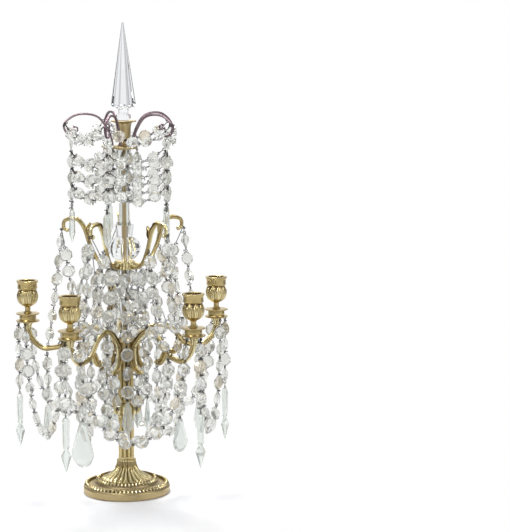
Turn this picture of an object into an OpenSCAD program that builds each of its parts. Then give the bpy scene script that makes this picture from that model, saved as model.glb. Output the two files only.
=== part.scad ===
// Five-light girandole: a gilt bronze and cut glass candle holder
// Millimetres, +Z up, the base stands on Z = 0 and the stem is the Z axis

/* [Base and foot] */
// Diameter of the round base
base_d = 122; // [118:1:140]
// Height of the plain band of the base
band_h = 12; // [10:1:20]
// Height of the hollow step above the band
step_h = 6; // [5:1:10]
// Height of the leaf ring and of the bead ring
ring_h = 4; // [3:0.5:6]
// Width of the leaf ring
leaf_ring_w = 8; // [6:0.5:9]
// Width of the bead ring
bead_ring_w = 6; // [4:0.5:7]
// Diameter of the spreading foot where it stands on the base
foot_d = 72; // [60:1:74]
// Height of the spreading foot
foot_h = 26; // [20:1:36]

/* [Stem] */
// Diameter of the tie rod
rod_d = 6; // [5:0.5:7]
// Diameter of the reeded column
column_d = 22; // [20:0.5:26]
// Number of reeds round the column
reed_count = 10; // [8:1:12]
// Height of the collar on the foot
collar_h = 4; // [3:0.5:8]
// Length of the column below the knop
lower_column_h = 64; // [56:1:80]
// Diameter of the knop
knop_d = 43; // [38:1:46]
// Height of the knop
knop_h = 17; // [14:1:22]
// Length of the column above the knop
upper_column_h = 69; // [62:1:80]
// Height of the hub of the candle arms
hub_h = 22; // [20:1:28]
// Diameter of the hub of the candle arms
hub_d = 30; // [28:1:34]
// Length of the glass spindle above the hub
spindle_h = 98; // [94:1:110]
// Largest diameter of the glass spindle
spindle_d = 17; // [15:0.5:18]
// Height of the hub of the upper branches
branch_hub_h = 12; // [11:0.5:16]
// Diameter of the hub of the upper branches
branch_hub_d = 36; // [34:1:40]
// Diameter of the glass bowl
bowl_d = 46; // [40:1:48]
// Height of the glass bowl with its neck
bowl_h = 50; // [46:1:60]
// Diameter of the glass tube
tube_d = 18; // [16:0.5:20]
// Length of the glass tube
tube_h = 48; // [42:1:56]
// Diameter of the fluted glass bell
bell_d = 21; // [19:0.5:24]
// Length of the fluted glass bell
bell_h = 58; // [50:1:64]

/* [Candle arms] */
// Radius of the circle of candles
arm_reach = 141; // [136:1:150]
// Height of the arch of an arm above its root
arch_rise = 29; // [25:1:34]
// Depth of the dip of an arm below its root
dip_drop = 4; // [3:1:8]
// Height of an arm's end above its root
pan_rise = 33; // [30:1:38]
// Half thickness of an arm
arm_half = 3.8; // [3.2:0.1:4.4]
// Diameter of the two discs of a drip pan
pan_d = 33; // [30:1:36]
// Thickness of a disc
disc_h = 2.2; // [1.8:0.2:3.2]
// Diameter of the drum between the discs
drum_d = 23; // [20:0.5:26]
// Height of the drum
drum_h = 8.2; // [7:0.2:11]
// Diameter of a candle
candle_d = 22; // [20:0.5:23]
// Depth of the candle socket
socket_depth = 22; // [18:1:24]
// Height of a candle cup with its neck
cup_h = 46; // [44:1:50]
// Largest diameter of a candle cup
cup_d = 30; // [28:0.5:32]

/* [Upper branches] */
// Radius at the outside of an upper branch
branch_reach = 89; // [84:1:94]
// Height of a branch above its root
branch_rise = 66; // [60:1:72]
// Half thickness of a branch
branch_half = 2.9; // [2.4:0.1:3.3]

/* [Crown and finial] */
// Diameter of the crown plate
crown_plate_d = 39; // [36:1:44]
// Thickness of the crown plate
crown_plate_h = 4; // [3:0.5:6]
// Height of the neck between the crown plate and the socket
neck_h = 10; // [8:1:14]
// Radius at the outside of the crown scrolls
crown_reach = 83; // [80:1:88]
// Height of the crown scrolls above the plate
crown_rise = 46; // [42:1:50]
// Half thickness of a crown scroll
crown_half = 1.9; // [1.6:0.1:2.2]
// Height of the finial socket
finial_socket_h = 25; // [22:1:30]
// Diameter of the flared rim of the finial socket
socket_rim_d = 36; // [32:1:40]
// Diameter of the round foot of the spire
peg_d = 13; // [11:0.5:14]
// Length of the spire's foot that stands in the socket
peg_depth = 18; // [14:1:20]
// Height of the spire's neck and shoulder above the socket
spire_neck_h = 20; // [18:1:26]
// Width of the spire at its base, over the corners
spire_d = 36; // [32:1:38]
// Length of the tapered part of the spire
spire_h = 115; // [100:1:140]

/* [Glass dressing] */
// Width of a bead below the crown
bead_w = 18.5; // [17:0.5:19]
// Thickness of a bead
bead_t = 9; // [7:0.5:10]
// Width of a bead in the crown
crown_bead_w = 17; // [15.5:0.5:17.5]
// Least length of the wire between two beads
link_gap = 4; // [3.5:0.5:6]
// Length of the wire at the ends of a strand
link_lead = 7; // [6:0.5:9]
// Diameter of the wire
wire_d = 1; // [0.8:0.1:1.2]
// Depth of the outer garlands
garland_depth = 140; // [120:1:146]
// Depth of the inner garlands
inner_garland_depth = 112; // [90:1:116]
// Length of the spear drops
spear_h = 76; // [64:1:80]
// Width of the spear drops at the head
spear_w = 15; // [13:0.5:16]
// Length of the crown prisms
prism_h = 46; // [36:1:50]
// Width of the crown prisms
prism_w = 12; // [10:0.5:13]
// Width of the pear drops
pear_w = 25; // [20:1:27]
// Length of the pear drops
pear_h = 46; // [38:1:50]
// Width of the large plaque
plaque_w = 34; // [30:1:35]
// Length of the large plaque
plaque_h = 64; // [56:1:66]
// Width of the kite drops by the column
kite_w = 17; // [14:0.5:18]
// Length of the kite drops by the column
kite_h = 50; // [44:1:54]

/* [Hidden] */
$fn = 48;

brass = "#b08d3f";
bronze = "#7d6250";
glass = "#dfe6e4";
steel = "#8a8c90";
wire_colour = "#4a4a50";

// Clearances: a rod in its bore, a tenon in its bore, a wire end at its seat, a pin in an eye
rod_gap = 0.2;
tenon_gap = 0.1;
seat_gap = 0.25;
eye_gap = 0.5;

lights = 5;
light_pitch = 360 / lights;
// One candle arm stands straight behind the stem, the upper branches stand over the arms,
// and the crown is turned against them
first_arm = 18;
crown_turn = 14;
plaque_arm = 4;

function arm_az(k) = first_arm + light_pitch * (k - 1);
function crown_az(k) = arm_az(k) + crown_turn;

base_r = base_d / 2;
leaf_ring_r = base_r - 3;
step_foot_r = leaf_ring_r - leaf_ring_w - 1;
bead_ring_in = foot_d / 2 + 0.4;
step_top_r = bead_ring_in + bead_ring_w + 0.6;
recess_r = 13;
recess_h = 9;
washer_h = 1.5;
washer_r = 10;
nut_h = 5;
nut_r = 7;
rod_r = rod_d / 2;
bore_r = rod_r + rod_gap;

// Heights of the pieces on the stem, each on the one below
foot_z = band_h + step_h;
collar_z = foot_z + foot_h;
lower_column_z = collar_z + collar_h;
knop_z = lower_column_z + lower_column_h;
upper_column_z = knop_z + knop_h;
hub_z = upper_column_z + upper_column_h;
spindle_z = hub_z + hub_h;
branch_hub_z = spindle_z + spindle_h;
bowl_z = branch_hub_z + branch_hub_h;
tube_z = bowl_z + bowl_h;
bell_z = tube_z + tube_h;
crown_z = bell_z + bell_h;
neck_z = crown_z + crown_plate_h;
socket_z = neck_z + neck_h;
socket_top = socket_z + finial_socket_h;
peg_z = socket_top - peg_depth;
spire_z = socket_top + spire_neck_h;
rod_z = 0;
rod_top = socket_z + 3;

hub_r = hub_d / 2;
arm_z = hub_z + 9;
pan_z = arm_z + pan_rise;
pan_h = 2 * disc_h + drum_h;
cup_z = pan_z + pan_h;
tenon_r = 2.6;
tenon_in = 6;
stud_r = 2.4;
stud_up = 8;
branch_hub_r = branch_hub_d / 2;
branch_z = branch_hub_z + branch_hub_h / 2;
branch_tenon_r = 1.8;
scroll_foot_r = 15;
scroll_pin_r = 1.3;
wire_r = wire_d / 2;
eye_r = wire_r + eye_gap + wire_r;
hook_drop = 3;
hook_w = 5;

// Shared maths

function mix(a, b, t) = a + (b - a) * t;
function polar(r, az, z) = [r * cos(az), r * sin(az), z];
function unit(v) = v / norm(v);

// Smooth curve through control points, at u from 0 to their count less one
function spline_at(p, u) =
  let (n = len(p) - 1, i = min(floor(u), n - 1), t = u - i)
  let (a = p[max(i - 1, 0)], b = p[i], c = p[i + 1], d = p[min(i + 2, n)])
  b + 0.5 * t * ((c - a) + t * ((2 * a - 5 * b + 4 * c - d) + t * (3 * b - a - 3 * c + d)));

function spline(p, steps) = [for (i = [0 : (len(p) - 1) * steps]) spline_at(p, i / steps)];

// Direction of a curve in the r-z plane at its point i
function heading(c, i) =
  let (a = c[max(i - 1, 0)], b = c[min(i + 1, len(c) - 1)])
  unit([b[0] - a[0], b[1] - a[1]]);

// Bar bent along control points [r, z, half thickness] in the X-Z plane
module bent_bar(control, steps = 3, sides = 8, start = undef, end = undef) {
  curve = spline(control, steps);
  n = len(curve);
  points = [
    for (i = [0 : n - 1])
      let (p = curve[i])
      let (h = i == 0 && start != undef ? start : i == n - 1 && end != undef ? end : heading(curve, i))
      for (j = [0 : sides - 1])
        let (up = p[2] * cos(360 * j / sides), out = p[2] * sin(360 * j / sides))
        [p[0] - h[1] * up, out, p[1] + h[0] * up]
  ];
  walls = [
    for (i = [0 : n - 2], j = [0 : sides - 1])
      let (a = i * sides + j, b = i * sides + (j + 1) % sides)
      each [[a, b, a + sides], [b, b + sides, a + sides]]
  ];
  foot = [for (j = [sides - 1 : -1 : 0]) j];
  head = [for (j = [0 : sides - 1]) (n - 1) * sides + j];
  polyhedron(points, concat(walls, [foot, head]));
}

module along(d) {
  rotate([0, acos(d[2]), atan2(d[1], d[0])]) children();
}

module wire(a, b) {
  translate(a) along(unit(b - a)) cylinder(r = wire_r, h = norm(b - a), $fn = 16);
}

module turned(profile) {
  rotate_extrude($fn = 96) polygon(profile);
}

// Base and foot

// Hollow moulding from the outer foot of the step up to its top
step_curve = [
  for (a = [0 : 15 : 90])
    [step_foot_r - (step_foot_r - step_top_r) * sin(a), foot_z - step_h * cos(a)]
];

module base_plate() {
  edge = 1.5;
  color(brass) turned(concat(
    [[bore_r, recess_h], [recess_r, recess_h], [recess_r, 0], [base_r - edge, 0], [base_r, edge]],
    [[base_r, band_h - edge], [base_r - edge, band_h]],
    step_curve,
    [[bore_r, foot_z]]
  ));
}

// Ring with a half round top, from radius inner to inner + width
module moulded_ring(inner, width, z) {
  turned([for (a = [0 : 18 : 180]) [inner + width / 2 * (1 + cos(a)), z + ring_h * sin(a)]]);
}

module base_leaf_ring() {
  color(brass) moulded_ring(leaf_ring_r - leaf_ring_w, leaf_ring_w, band_h);
}

module base_bead_ring() {
  color(brass) moulded_ring(bead_ring_in, bead_ring_w, foot_z);
}

module base_washer() {
  color(steel) translate([0, 0, recess_h - washer_h]) difference() {
    cylinder(r = washer_r, h = washer_h);
    translate([0, 0, -1]) cylinder(r = bore_r, h = washer_h + 2);
  }
}

module base_nut() {
  color(steel) translate([0, 0, recess_h - washer_h - nut_h]) difference() {
    cylinder(r = nut_r, h = nut_h, $fn = 6);
    translate([0, 0, -1]) cylinder(r = bore_r, h = nut_h + 2);
  }
}

module tie_rod() {
  color(brass) translate([0, 0, rod_z]) cylinder(r = rod_r, h = rod_top - rod_z);
}

module spreading_foot() {
  lip = 2.5;
  top_r = column_d / 2 + 1;
  flare = [
    for (t = [0 : 0.125 : 1])
      [mix(top_r, foot_d / 2 - 1.5, pow(1 - t, 2.2)), foot_z + lip + (foot_h - lip) * t]
  ];
  color(brass) turned(concat(
    [[bore_r, foot_z], [foot_d / 2, foot_z], [foot_d / 2, foot_z + lip]],
    flare,
    [[bore_r, collar_z]]
  ));
}

module foot_collar() {
  r = column_d / 2 + 2;
  color(brass) turned([
    [bore_r, collar_z], [r - 1, collar_z], [r, collar_z + 1], [r, collar_z + collar_h - 1],
    [r - 1, collar_z + collar_h], [bore_r, collar_z + collar_h]
  ]);
}

// Column of round reeds about a core, with a fine groove between reeds; the core stands proud at both ends
module reeded_column(z, h) {
  spread = 0.96 * sin(180 / reed_count);
  reed_r = column_d / 2 * spread / (1 + spread);
  reed_at = column_d / 2 - reed_r;
  inset = 0.4;
  color(brass) translate([0, 0, z]) difference() {
    union() {
      cylinder(r = 1.01 * reed_at, h = h);
      for (i = [1 : reed_count])
        rotate(360 * i / reed_count) translate([reed_at, 0, inset]) cylinder(r = reed_r, h = h - 2 * inset);
    }
    translate([0, 0, -1]) cylinder(r = bore_r, h = h + 2);
  }
}

module lower_column() {
  reeded_column(lower_column_z, lower_column_h);
}

module knop() {
  waist = column_d / 2 + 1;
  bulge = [
    for (a = [-75 : 15 : 75])
      [mix(waist, knop_d / 2, cos(a)), knop_z + knop_h / 2 * (1 + sin(a))]
  ];
  color(brass) turned(concat(
    [[bore_r, knop_z], [waist, knop_z]], bulge, [[waist, knop_z + knop_h], [bore_r, knop_z + knop_h]]
  ));
}

module upper_column() {
  reeded_column(upper_column_z, upper_column_h);
}

// Candle arms

module arm_hub() {
  lip = 3;
  color(brass) difference() {
    turned([
      [bore_r, hub_z], [hub_r - lip, hub_z], [hub_r, hub_z + lip], [hub_r, spindle_z - lip],
      [hub_r - lip, spindle_z], [bore_r, spindle_z]
    ]);
    for (k = [1 : lights])
      rotate(arm_az(k)) translate([hub_r - tenon_in - seat_gap, 0, arm_z]) rotate([0, 90, 0])
        cylinder(r = tenon_r + tenon_gap, h = tenon_in + 2);
  }
}

function arm_r(f) = hub_r + (arm_reach - hub_r) * f;

// The S of an arm, from the hub to the drip pan
arm_control = [
  [hub_r + seat_gap, arm_z, 0.9 * arm_half],
  [arm_r(0.08), arm_z + 0.45 * arch_rise, 0.95 * arm_half],
  [arm_r(0.19), arm_z + 0.88 * arch_rise, arm_half],
  [arm_r(0.31), arm_z + arch_rise, 1.05 * arm_half],
  [arm_r(0.45), arm_z + 0.74 * arch_rise, 1.05 * arm_half],
  [arm_r(0.59), arm_z + 0.06 * arch_rise, arm_half],
  [arm_r(0.71), arm_z - 0.85 * dip_drop, arm_half],
  [arm_r(0.83), arm_z - dip_drop, arm_half],
  [arm_r(0.94), arm_z + 0.2 * pan_rise, 1.05 * arm_half],
  [arm_reach - 0.5, arm_z + 0.6 * pan_rise, 1.15 * arm_half],
  [arm_reach, pan_z, 1.5 * arm_half]
];

// The bracket curl under the root of an arm
bracket_control = [
  [hub_r + 4.2, arm_z + 2, 0.8 * arm_half],
  [hub_r + 3.8, arm_z - 9, 0.8 * arm_half],
  [hub_r + 6, arm_z - 20, 0.75 * arm_half],
  [hub_r + 12, arm_z - 28, 0.6 * arm_half],
  [hub_r + 20, arm_z - 31, 0.4 * arm_half]
];

// The leaf that turns back from the arm inside its arch
leaf_control = [
  [arm_r(0.57), arm_z + 0.14 * arch_rise, 0.8 * arm_half],
  [arm_r(0.52), arm_z - 8, 0.75 * arm_half],
  [arm_r(0.45), arm_z - 14, 0.6 * arm_half],
  [arm_r(0.38), arm_z - 13, 0.35 * arm_half]
];

module candle_arm(k) {
  color(brass) rotate(arm_az(k)) {
    bent_bar(arm_control, start = [1, 0], end = [0, 1]);
    bent_bar(bracket_control);
    bent_bar(leaf_control);
    translate([hub_r - tenon_in, 0, arm_z]) rotate([0, 90, 0]) cylinder(r = tenon_r, h = tenon_in + 2);
    translate([arm_reach, 0, pan_z - 2]) cylinder(r = stud_r, h = 2 + pan_h + stud_up);
  }
}

module drip_pan() {
  r = pan_d / 2;
  drum_r = drum_d / 2;
  hole_r = stud_r + tenon_gap;
  upper = disc_h + drum_h;
  turned([
    [hole_r, 0], [r - 0.6, 0], [r, 0.6], [r, disc_h], [drum_r, disc_h],
    [drum_r, upper], [r, upper], [r, pan_h - 0.6], [r - 0.6, pan_h], [hole_r, pan_h]
  ]);
}

module drip_pans() {
  color(brass) for (k = [1 : lights]) translate(polar(arm_reach, arm_az(k), pan_z)) drip_pan();
}

// Turned cup: narrow neck, round bowl, plain band and flared lip
module candle_cup(k) {
  hole_r = stud_r + tenon_gap;
  bore = candle_d / 2 + 0.25;
  r = cup_d / 2;
  waist = r - 1;
  band_z = cup_h - 11;
  neck_top = stud_up + 2;
  bowl = [for (a = [-60 : 15 : 45]) [mix(6, r, cos(a)), mix(neck_top, band_z, 0.55 + 0.52 * sin(a))]];
  color(brass) translate(polar(arm_reach, arm_az(k), cup_z)) turned(concat(
    [[hole_r, 0], [6, 0], [3.8, 2.5], [3.8, neck_top - 1.5], [6, neck_top]],
    bowl,
    [[waist, band_z], [waist, cup_h - 3.5], [r + 0.4, cup_h - 1.2], [r + 0.4, cup_h], [bore, cup_h]],
    [[bore, cup_h - socket_depth], [0, cup_h - socket_depth], [0, stud_up + 1], [hole_r, stud_up + 1]]
  ));
}

// Glass of the stem

module glass_sleeve(profile) {
  color(glass, 0.6) turned(profile);
}

module glass_spindle() {
  r = spindle_d / 2;
  swell = [
    for (t = [0 : 0.0625 : 1])
      [r * (0.8 + 0.2 * cos(720 * t)), spindle_z + spindle_h * t]
  ];
  glass_sleeve(concat([[bore_r, spindle_z]], swell, [[bore_r, branch_hub_z]]));
}

module glass_bowl() {
  neck = bowl_d * 0.26;
  ball_h = bowl_h * 0.7;
  ball = [
    for (a = [-70 : 10 : 60])
      [bowl_d / 2 * cos(a), bowl_z + ball_h * 0.5 * (1 + sin(a) / sin(70))]
  ];
  glass_sleeve(concat(
    [[bore_r, bowl_z]], ball,
    [[neck, bowl_z + bowl_h * 0.78], [neck + 1.5, tube_z - 2], [neck + 1.5, tube_z], [bore_r, tube_z]]
  ));
}

module glass_tube() {
  r = tube_d / 2;
  glass_sleeve([
    [r - 3.5, tube_z], [r, tube_z], [r, bell_z - 1], [r - 1, bell_z], [r - 3.5, bell_z]
  ]);
}

module glass_bell() {
  r = bell_d / 2;
  flare = [for (t = [0 : 0.125 : 1]) [r * mix(0.62, 1, pow(t, 1.6)), bell_z + 4 + (bell_h - 6) * t]];
  glass_sleeve(concat(
    [[bore_r, bell_z], [r * 0.85, bell_z], [r * 0.85, bell_z + 3]],
    flare,
    [[r - 2, crown_z], [bore_r, crown_z]]
  ));
}

// Upper branches

module branch_hub() {
  edge = 2;
  waist = branch_hub_r - 3;
  color(brass) difference() {
    turned([
      [bore_r, branch_hub_z], [branch_hub_r - edge, branch_hub_z], [branch_hub_r, branch_hub_z + edge],
      [waist, branch_hub_z + 2 * edge], [waist, bowl_z - edge], [waist - edge, bowl_z], [bore_r, bowl_z]
    ]);
    for (k = [1 : lights])
      rotate(arm_az(k)) translate([waist - tenon_in - seat_gap, 0, branch_z]) rotate([0, 90, 0])
        cylinder(r = branch_tenon_r + tenon_gap, h = tenon_in + 2);
  }
}

branch_root_r = branch_hub_r - 3;
function branch_r(f) = branch_root_r + (branch_reach - branch_root_r) * f;

branch_control = [
  [branch_root_r + seat_gap, branch_z, 0.8 * branch_half],
  [branch_r(0.15), branch_z - 0.02 * branch_rise, 0.9 * branch_half],
  [branch_r(0.32), branch_z + 0.1 * branch_rise, branch_half],
  [branch_r(0.46), branch_z + 0.4 * branch_rise, 1.05 * branch_half],
  [branch_r(0.56), branch_z + 0.74 * branch_rise, 1.15 * branch_half],
  [branch_r(0.69), branch_z + 0.94 * branch_rise, 1.1 * branch_half],
  [branch_r(0.84), branch_z + branch_rise - branch_half, branch_half],
  [branch_r(0.96), branch_z + 0.9 * branch_rise, 0.9 * branch_half],
  [branch_r(0.97), branch_z + 0.76 * branch_rise, 0.9 * branch_half],
  [branch_r(0.91), branch_z + 0.71 * branch_rise, 0.7 * branch_half]
];

// The leaf on the back of a branch, where its lower and upper curves meet
branch_leaf_control = [
  [branch_r(0.52), branch_z + 0.6 * branch_rise, branch_half],
  [branch_r(0.5), branch_z + 0.78 * branch_rise, 0.9 * branch_half],
  [branch_r(0.45), branch_z + 0.88 * branch_rise, 0.4 * branch_half]
];

module upper_branches() {
  color(brass) for (k = [1 : lights]) rotate(arm_az(k)) {
    bent_bar(branch_control, start = [1, 0]);
    bent_bar(branch_leaf_control);
    translate([branch_root_r - tenon_in, 0, branch_z]) rotate([0, 90, 0])
      cylinder(r = branch_tenon_r, h = tenon_in + 2);
  }
}

// Crown and finial

module crown_plate() {
  r = crown_plate_d / 2;
  edge = 1;
  color(brass) difference() {
    turned([
      [bore_r, crown_z], [r - edge, crown_z], [r, crown_z + edge], [r, neck_z - edge],
      [r - edge, neck_z], [bore_r, neck_z]
    ]);
    for (k = [1 : lights])
      translate(polar(scroll_foot_r, crown_az(k), crown_z - 1))
        cylinder(r = scroll_pin_r + tenon_gap, h = crown_plate_h + 2, $fn = 24);
  }
}

module crown_neck() {
  color(brass) turned([
    [bore_r, neck_z], [8, neck_z], [8, neck_z + 2], [5.5, neck_z + 4],
    [5.5, socket_z - 2], [7, socket_z], [bore_r, socket_z]
  ]);
}

function crown_r(f) = scroll_foot_r + (crown_reach - scroll_foot_r) * f;

crown_control = [
  [scroll_foot_r, neck_z + seat_gap, crown_half],
  [crown_r(0.03), neck_z + 0.26 * crown_rise, crown_half],
  [crown_r(0.12), neck_z + 0.55 * crown_rise, crown_half],
  [crown_r(0.28), neck_z + 0.85 * crown_rise, crown_half],
  [crown_r(0.5), neck_z + crown_rise - crown_half, crown_half],
  [crown_r(0.76), neck_z + 0.92 * crown_rise, crown_half],
  [crown_reach - crown_half, neck_z + 0.68 * crown_rise, crown_half],
  [crown_r(0.95), neck_z + 0.44 * crown_rise, crown_half],
  [crown_r(0.84), neck_z + 0.34 * crown_rise, 0.9 * crown_half],
  [crown_r(0.73), neck_z + 0.41 * crown_rise, 0.8 * crown_half],
  [crown_r(0.71), neck_z + 0.54 * crown_rise, 0.7 * crown_half],
  [crown_r(0.77), neck_z + 0.58 * crown_rise, 0.6 * crown_half]
];

module crown_scrolls() {
  color(bronze) for (k = [1 : lights]) rotate(crown_az(k)) {
    bent_bar(crown_control, sides = 6, start = [0, 1]);
    translate([scroll_foot_r, 0, crown_z]) cylinder(r = scroll_pin_r, h = crown_plate_h + 3, $fn = 24);
  }
}

module finial_socket() {
  bore = peg_d / 2 + eye_gap;
  rod_hole = rod_top + 1;
  top_r = bore + 5;
  rim_r = socket_rim_d / 2;
  color(brass) turned([
    [bore_r, socket_z], [bore + 1.5, socket_z], [bore + 2.5, socket_z + 2], [top_r, socket_top - 3],
    [rim_r, socket_top - 1.5], [rim_r, socket_top], [bore, socket_top], [bore, peg_z], [0, peg_z],
    [0, rod_hole], [bore_r, rod_hole]
  ]);
}

// Glass spire: a round foot in the socket, a ball above it, and an eight-sided point on a flared neck
spire_ball_r = peg_d / 2 + 4;
spire_lap = 1;
module finial_spire() {
  foot_r = peg_d / 2;
  shoulder_r = spire_d / 2 * cos(22.5) - 0.4;
  ball_z = socket_top + eye_gap;
  ball_top = socket_top + 0.5 * spire_neck_h;
  ball = [
    for (a = [-90 : 15 : 75])
      [mix(foot_r, spire_ball_r, cos(a)), mix(ball_z, ball_top, 0.5 + 0.5 * sin(a))]
  ];
  shoulder = [
    for (t = [0 : 0.125 : 1])
      [mix(foot_r, shoulder_r, t * t), mix(ball_top + spire_lap, spire_z - spire_lap, sin(90 * t))]
  ];
  color(glass, 0.6) {
    turned(concat(
      [[0, peg_z], [foot_r, peg_z]], ball, shoulder,
      [[shoulder_r, spire_z], [shoulder_r - spire_lap, spire_z + spire_lap], [0, spire_z + spire_lap]]
    ));
    translate([0, 0, spire_z]) rotate(22.5) cylinder(r1 = spire_d / 2, r2 = 1, h = spire_h, $fn = 8);
  }
}

// Beads and strands

// Eight-sided cut bead, its face along Y and its wire holes along Z
module bead(w, t) {
  table = 0.3 * w;
  outline = [[w / 2, 0], [table, t / 2], [-table, t / 2], [-w / 2, 0], [-table, -t / 2], [table, -t / 2]];
  intersection() {
    linear_extrude(2 * w, center = true) polygon(outline);
    rotate([0, 45, 0]) linear_extrude(2 * w, center = true) polygon(outline);
    rotate([0, 90, 0]) linear_extrude(2 * w, center = true) polygon(outline);
    rotate([0, 135, 0]) linear_extrude(2 * w, center = true) polygon(outline);
  }
}

// Strand that sags between two points, and deep garland whose ends hang straight
path_steps = 40;
function swag(a, b, sag) =
  [for (i = [0 : path_steps]) let (u = i / path_steps) mix(a, b, u) - [0, 0, 4 * sag * u * (1 - u)]];
function loop(a, b, depth) = [
  for (i = [0 : path_steps])
    let (u = 180 * i / path_steps)
    (a + b) / 2 + (a - b) / 2 * cos(u) - [0, 0, depth * sin(u)]
];

function lengths(path, i = 1, sum = [0]) =
  i == len(path) ? sum
  : lengths(path, i + 1, concat(sum, [sum[i - 1] + norm(path[i] - path[i - 1])]));
function along_path(path, run, s) = [
  for (axis = [0 : 2]) lookup(s, [for (i = [0 : len(path) - 1]) [run[i], path[i][axis]]])
];

// Beads of a strand as [centre, direction], evenly spaced between its leads
function strand(path, w, lead_in, lead_out) =
  let (run = lengths(path), room = run[len(path) - 1] - lead_in - lead_out)
  let (n = max(1, floor((room + link_gap) / (w + link_gap))))
  let (gap = n > 1 ? (room - n * w) / (n - 1) : 0, first = n > 1 ? w / 2 : room / 2)
  [
    for (i = [0 : n - 1])
      let (s = lead_in + first + i * (w + gap))
      let (a = along_path(path, run, s - w / 2), b = along_path(path, run, s + w / 2))
      [(a + b) / 2, unit(b - a)]
  ];

// Beads turn on their wires, each by its own amount
function bead_turn(p, i) = 50 * sin(97 * i + 11 * p[0] + 7 * p[1]);

module strand_beads(path, w, lead_in = link_lead, lead_out = link_lead) {
  row = strand(path, w, lead_in, lead_out);
  for (i = [0 : len(row) - 1])
    let (p = row[i][0], d = row[i][1])
    let (face = atan2(p[1], p[0]) - atan2(d[1], d[0]) + 90)
    translate(p) along(d) rotate(face + bead_turn(p, i)) bead(w, bead_t);
}

module strand_pins(path, w, lead_in = link_lead, lead_out = link_lead) {
  row = strand(path, w, lead_in, lead_out);
  last = len(row) - 1;
  reach = w / 2 + seat_gap;
  wire(path[0], row[0][0] - reach * row[0][1]);
  for (i = [1 : 1 : last]) wire(row[i - 1][0] + reach * row[i - 1][1], row[i][0] - reach * row[i][1]);
  if (lead_out > seat_gap) wire(row[last][0] + reach * row[last][1], path[len(path) - 1]);
}

// Points on the metal work where strands are tied: off the upper or lower side of a bent bar at u
function tie_point(control, u, az, side) =
  let (p = spline_at(control, u), q = spline_at(control, u + 0.02))
  let (h = unit([q[0] - p[0], q[1] - p[1]]), up = h[0] < 0 ? -1 : 1)
  let (off = side * up * (p[2] + wire_r + seat_gap))
  polar(p[0] - h[1] * off, az, p[1] + h[0] * off);
function over(control, u, az) = tie_point(control, u, az, 1);
function under(control, u, az) = tie_point(control, u, az, -1);
function tied_beside(p, az, side) = p + side * polar(1.4 * wire_d, az + 90, 0);

// Crown: a rosette, a short strand and a prism hang from each scroll, with four rows of swags

rosette_w = 19;
rosette_t = 5;
crown_hook_u = 8;
crown_strand_n = 3;
tie_lead = 7;
tie_gap = link_gap + 1.5;
prism_lead = 5;
tie_drop = 2;
outer_sag = 24;
row_sag = 20;
function crown_tie(k) = under(crown_control, crown_hook_u, crown_az(k));
function crown_strand(k) =
  let (top = crown_tie(k) + [0, 0, wire_r - rosette_w - seat_gap])
  [top, top - [0, 0, tie_lead + crown_strand_n * (crown_bead_w + tie_gap) - tie_gap + prism_lead]];
function crown_end(k) = crown_strand(k)[1];

function outer_tie(k, side) =
  let (p = spline_at(crown_control, 6))
  polar(p[0], crown_az(k), p[1]) + side * polar(p[2] * cos(30) + wire_r + seat_gap, crown_az(k) + 90, 0);
function row_tie(k, row, side) =
  tied_beside(crown_strand(k)[0] - [0, 0, tie_drop + row * (crown_bead_w + tie_gap)], crown_az(k), side);

function crown_swags() = [
  for (k = [1 : lights])
    each concat(
      [swag(outer_tie(k, 1), outer_tie(k + 1, -1), outer_sag)],
      [for (row = [0 : crown_strand_n - 1]) swag(row_tie(k, row, 1), row_tie(k + 1, row, -1), row_sag)]
    )
];
plate_strand_h = 74;
function plate_strands() = [
  for (k = [1 : lights])
    let (p = polar(crown_plate_d / 2 - 1, crown_az(k) + light_pitch / 2, crown_z - seat_gap))
    [p, p - [0, 0, plate_strand_h]]
];

module rosette() {
  tips = 8;
  star = [
    for (i = [0 : 2 * tips - 1])
      let (r = i % 2 == 0 ? rosette_w / 2 : rosette_w * 0.34)
      [r * sin(180 * i / tips), r * cos(180 * i / tips)]
  ];
  rotate([90, 0, 0]) linear_extrude(rosette_t, center = true) polygon(star);
}

module crown_rosettes() {
  color(glass, 0.6) for (k = [1 : lights])
    translate(crown_tie(k) + [0, 0, wire_r - rosette_w / 2]) rotate(crown_az(k) + 90) rosette();
}

swag_lead = 13;
module crown_beads() {
  color(glass, 0.6) {
    for (k = [1 : lights]) strand_beads(crown_strand(k), crown_bead_w, tie_lead, prism_lead);
    for (s = crown_swags()) strand_beads(s, crown_bead_w, swag_lead, swag_lead);
    for (s = plate_strands()) strand_beads(s, crown_bead_w, rim_lead, seat_gap);
  }
}

// Strands from the upper branches to the candle arms, round the stem

// A strand's place on its branch, its place on an arm, arms further on, sag, and wire at top and foot
stem_ties = [
  [8, 6.5, 0, 14, 10, link_lead],
  [8, 5.4, 1, 16, 30, link_lead],
  [3, 4.2, 0, 4, link_lead, link_lead],
  [1.6, 2.6, 0, 3, link_lead, link_lead],
  [2.3, 3.4, 1, 5, 26, 32]
];

// Strands from the rim of the branch hub, past the hub of the arms, to a kite drop by the knop
rim_lead = 4;
front_rise = 10;
function rim_az(k) = arm_az(k) - light_pitch / 2;
function front_end(k) = polar((knop_d + bead_w) / 2, rim_az(k), knop_z + knop_h + front_rise);
function front_strand(k) = [polar(branch_hub_r - 2, rim_az(k), branch_hub_z - seat_gap), front_end(k)];

function stem_strand(k, t) =
  let (head = under(branch_control, t[0], arm_az(k)), foot = over(arm_control, t[1], arm_az(k + t[2])))
  [swag(tied_beside(head, arm_az(k), 2 * t[2] - 1), foot, t[3]), t[4], t[5]];
function stem_strands() = [
  for (k = [1 : lights])
    each concat([[front_strand(k), rim_lead, seat_gap]], [for (t = stem_ties) stem_strand(k, t)])
];

module stem_beads() {
  color(glass, 0.6) for (s = stem_strands()) strand_beads(s[0], bead_w, s[1], s[2]);
}

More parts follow.
